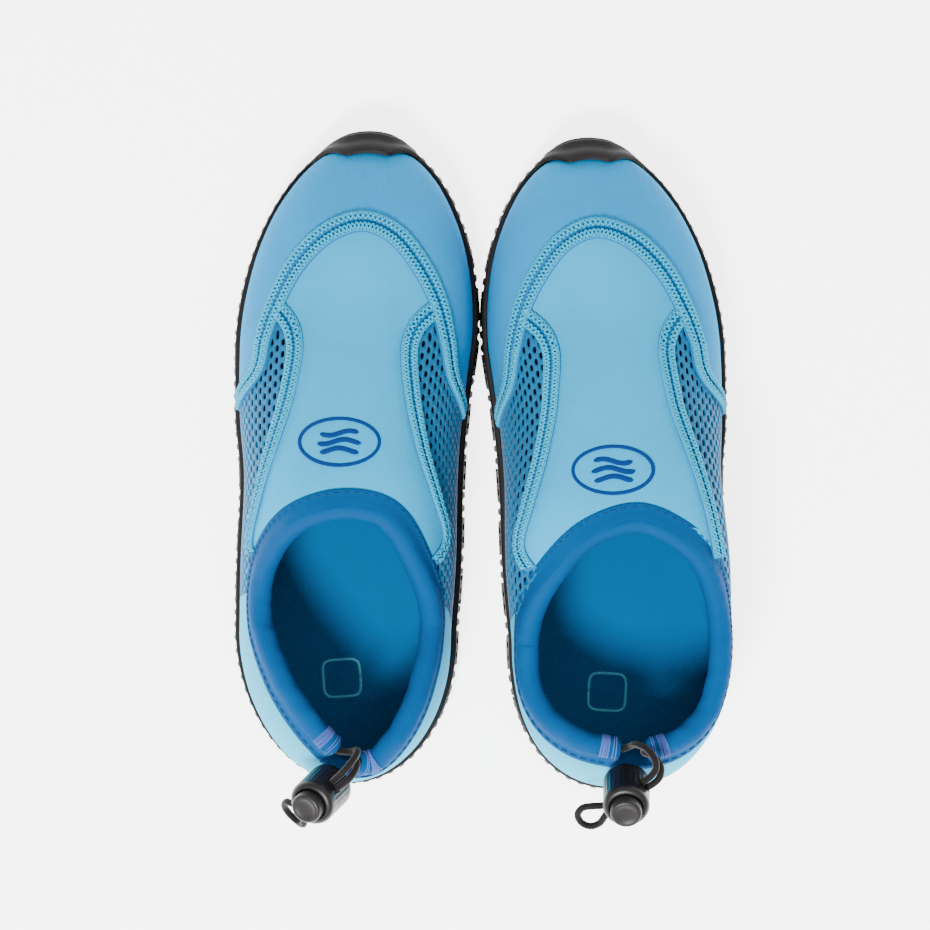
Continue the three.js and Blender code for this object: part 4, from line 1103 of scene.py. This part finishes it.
def binding(shoe, collar, material, thread):
    """Knit binding folded over the wall's edge, with gathers towards its mouths and a stitch row."""
    count = 460
    centre, tangent, rise, side = tunnel_frames(shoe, collar, count)
    run = np.linspace(0, length_of(centre), count)
    near_mouth = np.exp(-np.minimum(run, run[-1] - run) / BINDING_GATHER)
    arc = np.linspace(0, math.pi, 15)
    top = np.stack([TUNNEL_RADIUS * np.cos(arc), TUNNEL_RADIUS * np.sin(arc)], -1)
    drop = np.linspace(0.8, BINDING_DROP, 7)
    waist = 2.95 + 1.55 * np.cos(np.minimum(drop / 5.6, 1) * math.pi / 2) ** 2
    legs = np.stack([waist, -drop], -1)
    section = np.vstack([top, legs * [-1, 1], [(-1.6, -7.7), (1.6, -7.7)], legs[::-1]])
    angle = np.arctan2(section[:, 1], section[:, 0])
    ripple = (
        np.sin(run[:, None] / 2.1 + 1.7 * np.sin(angle[None, :] + run[:, None] / 17))
        + 0.6 * np.sin(run[:, None] / 1.3 + 2.2 * angle[None, :] + 0.7)
    )
    slow = np.sin(run[:, None] / 19 + 0.5) * np.sin(angle[None, :] * 2 + run[:, None] / 31)
    grow = 1 + ripple * (0.009 + 0.05 * near_mouth[:, None]) + 0.018 * slow
    over = np.clip(section[:, 1] / 3 + 1.6, 0, 1)[None, :]
    scale = mix(1.0, grow, over)
    end = np.minimum(run, run[-1] - run)
    scale = scale * (1 - 0.22 * np.clip(1 - end / 1.3, 0, 1) ** 2)[:, None]
    grid = (
        centre[:, None]
        + side[:, None] * (section[:, 0][None, :] * scale)[..., None]
        + rise[:, None] * (section[:, 1][None, :] * scale)[..., None]
    )
    sides = len(section)
    around = run_along(section)
    uv = np.stack(np.broadcast_arrays(run[:, None], around[None, :]), -1)
    cloth = Bundle()
    faces = grid_faces(count - 1, sides, wrap=True)
    points = [grid.reshape(-1, 3)]
    uvs = [uv.reshape(-1, 2)]
    for at, inward in ((0, 1), (count - 1, -1)):
        ring = at * sides
        for shrink, depth in ((0.72, -0.35), (0.5, 0.1), (0.42, 1.5), (0.4, 5.0)):
            first = sum(len(p) for p in points)
            hole = TUNNEL_BORE * 0.95 * unit(section)
            flat = mix(hole, section, (shrink - 0.4) / 0.6) if shrink > 0.42 else hole
            points.append(centre[at] + tangent[at] * depth * inward
                          + side[at] * flat[:, :1] + rise[at] * flat[:, 1:])
            uvs.append(np.stack([np.full(sides, run[at] + depth), around], -1))
            faces += [[ring + k, ring + (k + 1) % sides, first + (k + 1) % sides, first + k]
                      for k in range(sides)]
            ring = first
        faces.append([ring + k for k in range(sides)])
    cloth.add(np.vstack(points), faces, np.vstack(uvs))

    gap = shoe["tunnel_gap"] / collar["length"] / 2
    share = np.linspace(-gap * 1.25, gap * 1.25, 40)
    low_centre = lift(collar["centre"](share), COLLAR_DEPTH, shoe)
    low_edge = lift(collar["edge"](share), COLLAR_DEPTH, shoe)
    _, low_rise, low_side = frames_along(low_centre, low_centre - low_edge)
    strip = np.array([(3.1, -7.4), (3.15, -5.6), (2.6, -4.5), (1.2, -4.0), (-1.2, -4.0),
                      (-2.6, -4.5), (-3.15, -5.6), (-3.1, -7.4)])
    wrinkle = 1 + 0.05 * np.sin(np.arange(40)[:, None] * 1.1 + strip[None, :, 0])
    low = (low_centre[:, None] + low_side[:, None] * (strip[None, :, :1] * wrinkle[..., None])
           + low_rise[:, None] * strip[None, :, 1:])
    low_uv = np.stack(np.meshgrid(np.arange(40) * 0.5, np.arange(8) * 2.0, indexing="ij"), -1)
    cloth.add(low, closed_tube_faces(40, 8), low_uv)
    fold = cloth.piece(f"{shoe['name']}_collar_binding", [material], shoe)

    stitches = Bundle()
    for start in np.arange(4.0, run[-1] - 4.0, COLLAR_STITCH_PITCH):
        at = np.interp(start + np.array([0, 0.35, 0.8, 1.3, 1.8, 2.15]), run, np.arange(count))
        spot, out, high = sampled((centre, side, rise), np.arange(count), at)
        lie = np.array([2.75, 3.12, 3.22, 3.22, 3.12, 2.75])[:, None]
        for face in (1, -1):
            stitches.tube(spot + out * lie * face - high * COLLAR_STITCH_DEPTH, FINE_THREAD, 5)
    return fold, stitches.piece(f"{shoe['name']}_collar_stitches", [thread], shoe)


def tack(which, shoe, collar, material):
    """Bar tack near a mouth: satin thread over the tunnel, with a looser row beside it."""
    count = 400
    centre, _, rise, side = tunnel_frames(shoe, collar, count)
    run = np.linspace(0, length_of(centre), count)
    total = run[-1]
    satin = Bundle()
    for k, start in enumerate(TACK_ROWS):
        at = start if which == "lateral" else total - start
        sweep = np.linspace(-0.42, math.pi + 0.42, 30)
        lean = 0.12 * math.sin(k * 2.4) * np.cos(sweep)
        where = at + lean
        spot, out, high = sampled((centre, side, rise), run, where)
        size = TUNNEL_RADIUS * (1.0 + 0.035 * (k % 2)) + 0.12
        path = spot + out * (size * np.cos(sweep))[:, None] + high * (size * np.sin(sweep))[:, None]
        satin.tube(path, FINE_THREAD, 6)
    return satin.piece(f"{shoe['name']}_{which}_tunnel_tack", [material], shoe)


def braid(along, angle):
    """Radius of a braided cord: two sets of strands that cross over and under."""
    turns = 2 * math.pi * along / 5.2
    one = np.abs(np.sin(2.5 * (angle + turns)))
    two = np.abs(np.sin(2.5 * (angle - turns)))
    return 0.87 + 0.13 * np.maximum(one, two) ** 0.6


def loop_points(shoe):
    poly = centripetal_spline(np.array(shoe["loop"]) / MM, steps=30)
    return by_length(poly, np.linspace(0, 1, int(length_of(poly) / CORD_STEP) + 1))


def free_loop(shoe, material):
    cord = Bundle()
    cord.tube(loop_points(shoe), CORD_RADIUS, 20, pattern=braid)
    return cord.piece(f"{shoe['name']}_drawcord_loop", [material], shoe)


def inner_cord(shoe, collar, material):
    cord = Bundle()
    centre, _, _ = tunnel_line(shoe, collar, 600)
    free = loop_points(shoe)
    join = [free[0] + (free[0] - free[1]) * 0.2, free[-1] + (free[-1] - free[-2]) * 0.2]
    route = centripetal_spline(np.vstack([join[:1], centre[3:-3:9], centre[-4:-3], join[1:]]), steps=10)
    cord.tube(by_length(route, np.linspace(0, 1, 800)), CORD_RADIUS, 14, pattern=braid)
    return cord.piece(f"{shoe['name']}_drawcord_in_collar", [material], shoe)


def lock_axes(shoe):
    spec = shoe["lock"]
    up = unit(np.array(spec["button"], float))
    cord = np.array(spec["cord"], float)
    cord = unit(cord - up * np.dot(cord, up))
    return np.array(spec["centre"], float), np.array([cord, np.cross(up, cord), up])


def turned(profile, sides, relief=None):
    """Points and faces of a profile turned about the lock's z axis."""
    radius, z = np.array(profile, float).T
    angle = np.arange(sides) / sides * 2 * math.pi
    size = np.broadcast_to(radius[:, None], (len(radius), sides)).copy()
    if relief is not None:
        size += relief(z[:, None], angle[None, :])
    points = np.stack([size * np.cos(angle), size * np.sin(angle),
                       np.broadcast_to(z[:, None], size.shape)], -1)
    return points.reshape(-1, 3), closed_tube_faces(len(radius), sides)


def soft_square(turn, power):
    """Cosine and sine of a turn, pushed out towards the corners of a square."""
    return [np.sign(wave) * np.abs(wave) ** power for wave in (np.cos(turn), np.sin(turn))]


def rounded(radius, z, size, turn, steps=6):
    """Quarter-round corner points; turn is the first and last angle in degrees."""
    angle = np.radians(np.linspace(*turn, steps))
    return [(radius + size * math.cos(a), z + size * math.sin(a)) for a in angle]


def cut(obj, tools):
    """Takes closed tool meshes out of a piece and leaves a plain mesh."""
    for tool in tools:
        modifier = obj.modifiers.new("cut", "BOOLEAN")
        modifier.object = tool
        modifier.operation = "DIFFERENCE"
        modifier.solver = "EXACT"
    bpy.context.view_layer.update()
    seen = obj.evaluated_get(bpy.context.evaluated_depsgraph_get())
    mesh = bpy.data.meshes.new_from_object(seen)
    obj.modifiers.clear()
    obj.data = mesh
    for tool in tools:
        bpy.data.objects.remove(tool)
    mesh.polygons.foreach_set("use_smooth", [True] * len(mesh.polygons))
    mesh.set_sharp_from_angle(angle=math.radians(32))
    return obj


def slot_tool(shoe, width, height, middle, reach):
    """Long oval bar along the cord, in the lock's place, for cutting the cord's way."""
    centre, axes = lock_axes(shoe)
    turn = np.linspace(0, 2 * math.pi, 40, endpoint=False)
    y, z = soft_square(turn, 0.5)
    ends = [np.stack([np.full(40, x), y * width / 2, z * height / 2 + middle], -1) for x in (-reach, reach)]
    local = np.vstack(ends)
    return make_piece("slot_tool", [centre + local @ axes], closed_tube_faces(2, 40), [], shoe)


def lock_barrel(shoe, material):
    centre, axes = lock_axes(shoe)

    def grip(z, angle):
        band = smoothstep(z, -6.5, -5.5) * smoothstep(-z, -4.5, -3.5)
        return -0.22 * band * (0.5 + 0.5 * np.cos(28 * angle))

    wall = [(BARREL_RADIUS, z) for z in np.linspace(-7.4, 5.4, 25)]
    profile = (
        [(0.02, BARREL_BOTTOM), (BARREL_RADIUS - 2.4, BARREL_BOTTOM)]
        + rounded(BARREL_RADIUS - 2.2, BARREL_BOTTOM + 2.2, 2.2, (-88, 0))
        + wall
        + rounded(BARREL_RADIUS - 2.2, BARREL_TOP - 2.2, 2.2, (0, 90), 8)
        + rounded(BORE_RADIUS + 0.4, BARREL_TOP - 0.4, 0.4, (92, 180), 4)
        + [(BORE_RADIUS, BARREL_TOP - 3), (BORE_RADIUS, BORE_BOTTOM), (0.02, BORE_BOTTOM)]
    )
    local, faces = turned(profile, 112, grip)
    obj = make_piece(f"{shoe['name']}_lock_barrel", [centre + local @ axes], faces, [material], shoe)
    return cut(obj, [slot_tool(shoe, CORD_HOLE[0], CORD_HOLE[1], 0, 16)])


def lock_button(shoe, material):
    centre, axes = lock_axes(shoe)
    profile = (
        [(0.02, BUTTON_BOTTOM), (BUTTON_RADIUS - 0.3, BUTTON_BOTTOM),
         (BUTTON_RADIUS, BUTTON_BOTTOM + 0.3)]
        + [(BUTTON_RADIUS, z) for z in np.linspace(-2, 11, 9)]
        + rounded(BUTTON_RADIUS - 1.3, BUTTON_TOP - 1.3, 1.3, (0, 88), 8)
        + [(r, BUTTON_TOP - drop) for r, drop in ((4.4, 0.02), (3.9, 0.25), (2.4, 0.5), (0.02, 0.55))]
    )
    local, faces = turned(profile, 64)
    obj = make_piece(f"{shoe['name']}_lock_button", [centre + local @ axes], faces, [material], shoe)
    return cut(obj, [slot_tool(shoe, CORD_HOLE[0], 6.8, 1.6, 9)])


# ======== Sole and insole ========

def toe_guard(station):
    away = np.abs(station - STATIONS / 2)
    return smoothstep(TOE_GUARD_HALF_WIDTH + 1 - away, 0, 2)


def rand_point(station, v, depth, foot, shoe):
    guard = toe_guard(station)
    top = mix(RAND_TOP_OUT, TOE_GUARD_OUT, guard)
    low = 1 + (WIDEST_Z - foot) / FEATHER_DROP
    return lift(outline_at(station, mix(low, top, v), shoe), depth, shoe)


def outsole(shoe, material):
    """Rubber cup with a stepped toe guard, a scored side wall and bevelled tread bars."""
    sole = Bundle()
    count = STATIONS * 24
    station = np.arange(count) * STATIONS / count
    guard = toe_guard(station)[:, None]
    v = np.array([0, 0.03, 0.1, 0.2, 0.24, 0.28, 0.32, 0.44, 0.48, 0.52, 0.56, 0.68, 0.72, 0.76,
                  0.8, 0.9, 0.96, 1.0])
    step = np.array([-0.5, -0.1, 0, 0, 1, 1, 0, 0, 1, 1, 0, 0, 1, 1, 0, 0, -0.15, -0.7])
    ridge = np.maximum(step, 0)
    round_off = np.minimum(step, 0)
    proud = SOLE_OVERHANG + guard * TOE_GUARD_STANDOFF + ridge * mix(-0.25, TOE_GUARD_STEP, guard) + round_off
    foot = lift(outline_at(station, 1.0, shoe), 0, shoe)
    run = run_along(foot)
    lug = smoothstep(np.sin(run * 2 * math.pi / LUG_PITCH), -0.3, 0.4)[:, None]
    proud = proud + LUG_PROUD * lug * (1 - guard) * smoothstep(LUG_TOP - v, 0, 0.15)
    s, w = np.meshgrid(station, v, indexing="ij")
    outer = rand_point(s, w, -proud, PLATE_BOTTOM_Z, shoe)
    w_in = np.linspace(1, 0, 6)
    s, w = np.meshgrid(station, w_in, indexing="ij")
    inner = rand_point(s, w, -SOLE_CLEARANCE - guard * TOE_GUARD_STANDOFF, PLATE_TOP_Z, shoe)
    floor = []
    cy = np.clip(foot[:, 1], HEEL_CENTRE_Y, TOE_CENTRE_Y)
    cx = spine_x(cy)
    for share in (0.9, 0.6, 0.3, 0):
        flat = [mix(cx, foot[:, 0], share), mix(cy, foot[:, 1], share), np.full(count, PLATE_TOP_Z)]
        floor.append(np.stack(flat, -1))
    under = [f * [1, 1, 0] + [0, 0, PLATE_BOTTOM_Z] for f in floor[::-1]]
    rows = np.concatenate([outer, inner, np.stack(floor, 1), np.stack(under, 1)], axis=1)
    high = rows.shape[1]
    i, j = np.meshgrid(np.arange(count), np.arange(high), indexing="ij")
    k, m = (i + 1) % count, (j + 1) % high
    quads = np.stack([i * high + j, k * high + j, k * high + m, i * high + m], -1)
    middle = outer.shape[1] + inner.shape[1] + len(floor) - 1
    sole.add(rows.reshape(-1, 3), np.delete(quads, middle, axis=1).reshape(-1, 4).tolist())

    outline = lift(outline_at(station, 1, shoe), -SOLE_OVERHANG - TREAD_PROUD, shoe)[:, :2]
    for bar in range(TREAD_BARS):
        top_y = (bar + FIRST_TREAD) * TREAD_PITCH
        middle_x = float(spine_x(np.clip(top_y, HEEL_CENTRE_Y, TOE_CENTRE_Y)))
        across = np.linspace(0, 1, 61)
        edges = []
        for y_shift in (0.0, -TREAD_WIDTH):
            level = min(max(top_y + y_shift, outline[:, 1].min() + 1.2), outline[:, 1].max() - 1.2)
            near = outline[np.argsort(np.abs(outline[:, 1] - level))[:14]]
            left = near[near[:, 0] < middle_x][:, 0].mean()
            right = near[near[:, 0] >= middle_x][:, 0].mean()
            x = mix(left, right, across)
            chevron = TREAD_POINT * np.clip(1 - np.abs(x - middle_x) / TREAD_ARM, 0, 1)
            edges.append(np.stack([x, np.minimum(level + chevron, outline[:, 1].max() - 3)], -1))
        front, back = edges
        section = [(0.0, 3.2), (0.0, 0.9), (0.05, 0.25), (0.12, 0.0),
                   (0.88, 0.0), (0.95, 0.25), (1.0, 0.9), (1.0, 3.2)]
        ends = np.clip(np.minimum(across, 1 - across) * 60, 0, 1)
        ring = []
        for share, z in section:
            flat = mix(front, back, share)
            shrink = (1 - 0.012 * (1 - ends) * (z < 0.5))[:, None]
            centre = flat.mean(axis=0)
            spot = centre + (flat - centre) * shrink
            ring.append(np.column_stack([spot, np.full(61, z)]))
        grid = np.stack(ring, 1)
        sole.add(grid, closed_tube_faces(61, 8))
    return sole.piece(f"{shoe['name']}_outsole", [material], shoe, sharp=50, weld=True)


def insole(shoe, material, mark):
    """Soft insole, a little dished, with a thin rounded-square outline printed at the heel."""
    count = 176
    station = np.arange(count) * STATIONS / count
    rim = lift(outline_at(station, 1, shoe), INSOLE_INSET, shoe)[:, :2]
    cy = np.clip(rim[:, 1], HEEL_CENTRE_Y, TOE_CENTRE_Y)
    spine = np.stack([spine_x(cy), cy], -1)
    shares = [0, 0.1, 0.2, 0.3, 0.4, 0.5, 0.6, 0.7, 0.8, 0.88, 0.94, 0.975, 0.993, 1.0]
    rows = []
    for share in shares:
        flat = mix(spine, rim, share)
        dish = 1.3 * max(share - 0.45, 0) ** 2 / 0.3
        edge = 1.1 * max(share - 0.93, 0) ** 2 / 0.0049
        rows.append(np.column_stack([flat, np.full(count, INSOLE_TOP_Z - 0.2 + dish - edge)]))
    rows += [np.column_stack([rim, np.full(count, INSOLE_BOTTOM_Z)]),
             np.column_stack([spine, np.full(count, INSOLE_BOTTOM_Z)])]
    grid = np.stack(rows, 1)
    high = grid.shape[1]
    i, j = np.meshgrid(np.arange(count), np.arange(high), indexing="ij")
    k = (i + 1) % count
    quads = np.stack([i * high + j, k * high + j, k * high + j + 1, i * high + j + 1], -1)
    points = grid.reshape(-1, 3)
    faces = quads[:, :-1].reshape(-1, 4).tolist()
    body = make_piece(f"{shoe['name']}_insole", [points], faces, [material], shoe, points[:, :2], weld=True)

    print_line = Bundle()
    cx, cy = shoe["insole_ring"]
    turn = np.linspace(0, 2 * math.pi, 97)
    x, y = (PRINT_HALF_SIZE * wave for wave in soft_square(turn, 0.42))
    c, s = math.cos(PRINT_TILT), math.sin(PRINT_TILT)
    plan = np.stack([cx + x * c - y * s, cy + x * s + y * c], -1)
    path = np.column_stack([plan, np.full(97, INSOLE_TOP_Z - 0.12)])
    along = np.gradient(plan, axis=0)
    along[0] = along[-1] = plan[1] - plan[-2]
    side = np.column_stack([unit(np.stack([-along[:, 1], along[:, 0]], -1)), np.zeros(97)])
    edges = ((-0.6, -0.3), (-0.5, 0.1), (0.5, 0.1), (0.6, -0.3))
    top = np.stack([path + side * a + [0, 0, b] for a, b in edges], 1)
    under = np.stack([path + side * a - [0, 0, 0.6] for a in (-0.6, -0.5, 0.5, 0.6)], 1)
    mark_points, mark_faces, mark_uv = shell(top, under)
    print_line.add(mark_points, mark_faces, mark_uv)
    line_piece = print_line.piece(f"{shoe['name']}_insole_outline", [mark], shoe)
    return body, line_piece


# ======== Scene ========

def make_camera():
    """Straight down on the pair, toes to the top of the frame."""
    data = bpy.data.cameras.new("camera")
    data.sensor_width = 36
    data.lens = CAMERA_LENS
    data.clip_start = 0.05
    camera = add_object("camera", data)
    camera.location = CAMERA_PLACE
    bpy.context.scene.camera = camera


def area_light(name, place, size, power):
    data = bpy.data.lights.new(name, "AREA")
    data.shape = "DISK"
    data.size = size
    data.energy = power
    lamp = add_object(name, data)
    lamp.location = place
    lamp.rotation_euler = (Vector(LIGHT_AIM) - Vector(place)).to_track_quat("-Z", "Y").to_euler()


def make_studio():
    world = bpy.data.worlds.new("studio")
    world.use_nodes = True
    world.node_tree.nodes["Background"].inputs["Color"].default_value = (1, 1, 1, 1)
    world.node_tree.nodes["Background"].inputs["Strength"].default_value = 1.0
    bpy.context.scene.world = world
    area_light("key", (-0.3, -0.75, 1.35), 0.4, 48)
    area_light("fill", (0.8, 0.7, 1.5), 1.2, 4)
    mesh = bpy.data.meshes.new("floor")
    mesh.from_pydata([(-3, -3, 0), (3, -3, 0), (3, 3, 0), (-3, 3, 0)], [], [(0, 1, 2, 3)])
    floor = add_object("floor", mesh)
    n = Nodes("paper")
    n.set(Base_Color=(0.98, 0.98, 0.98, 1), Roughness=0.9)
    n.set(Emission_Color=(1, 1, 1, 1), Emission_Strength=FLOOR_GLOW)
    mesh.materials.append(n.material)


def dress_hidden_nodes(shoe, frame, looks):
    """CAD nodes whose shape is right keep it and get a full material."""
    for node, look in (("lock_spring", "steel"), ("strobel_board", "board")):
        obj = frame["nodes"][f"{shoe['name']}_{node}"]
        obj.data.materials.clear()
        obj.data.materials.append(looks[look])


def make_cords(shoe, looks):
    loop = free_loop(shoe, looks["cord"])
    stand_for(loop, shoe, "drawcord_loop")
    lock = f"{shoe['name']}_lock"
    barrel = lock_barrel(shoe, looks["barrel"])
    stand_for(barrel, shoe, "lock_barrel", lock)
    button = lock_button(shoe, looks["button"])
    stand_for(button, shoe, "lock_button", f"{shoe['name']}_button")


def add_tape(name, seam, spec, shoe, looks):
    for piece in tape(name, seam, spec, shoe, looks["tape"], looks["tape_thread"]):
        stand_for(piece, shoe, name)


def make_shoe(shoe, frame, looks):
    collar = collar_lines(shoe)
    layout = upper_layout(shoe, collar)
    stand_for(outsole(shoe, looks["sole"]), shoe, "outsole")
    body, outline = insole(shoe, looks["insole"], looks["insole_print"])
    for piece in (body, outline):
        stand_for(piece, shoe, "insole")
    for part, size in (("toe", (300, 40)), ("vamp", (75, 110)), ("heel", (190, 55))):
        piece = panel(f"{part}_panel", layout[part], size, shoe, looks[part])
        stand_for(piece, shoe, f"{part}_panel")
    lining = panel("lining", layout["lining"], (300, 55), shoe, looks["lining"], LINING,
                   NEOPRENE + LINING_GAP, 0)
    stand_for(lining, shoe, "lining")
    for side in ("lateral", "medial"):
        for piece in net_panel(side, layout, shoe, looks["net"], looks["hole_shade"]):
            stand_for(piece, shoe, f"{side}_mesh")
        add_tape(f"{side}_vamp_tape", layout["seam"][side], VAMP_TAPE, shoe, looks)
        stand_for(tack(side, shoe, collar, looks["tack"]), shoe, f"{side}_tunnel_tack")
    add_tape("toe_seam_tape", layout["toe_seam"], TOE_TAPE, shoe, looks)
    stand_for(emblem(shoe, looks["emblem"]), shoe, "emblem")
    for piece in binding(shoe, collar, looks["binding"], looks["binding_thread"]):
        stand_for(piece, shoe, "collar_binding")
    stand_for(inner_cord(shoe, collar, looks["cord"]), shoe, "drawcord_in_collar")
    dress_hidden_nodes(shoe, frame, looks)


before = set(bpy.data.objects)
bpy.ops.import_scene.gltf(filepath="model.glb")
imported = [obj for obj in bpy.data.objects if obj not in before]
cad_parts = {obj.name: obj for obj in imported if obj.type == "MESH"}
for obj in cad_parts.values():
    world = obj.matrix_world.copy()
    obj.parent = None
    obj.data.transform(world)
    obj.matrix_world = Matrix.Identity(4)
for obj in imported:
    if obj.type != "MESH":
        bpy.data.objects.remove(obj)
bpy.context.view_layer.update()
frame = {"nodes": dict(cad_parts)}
make_camera()
looks = make_materials()
for shoe in (LEFT, RIGHT):
    make_cords(shoe, looks)
for shoe in (LEFT, RIGHT):
    make_shoe(shoe, frame, looks)
make_studio()
bpy.context.view_layer.update()
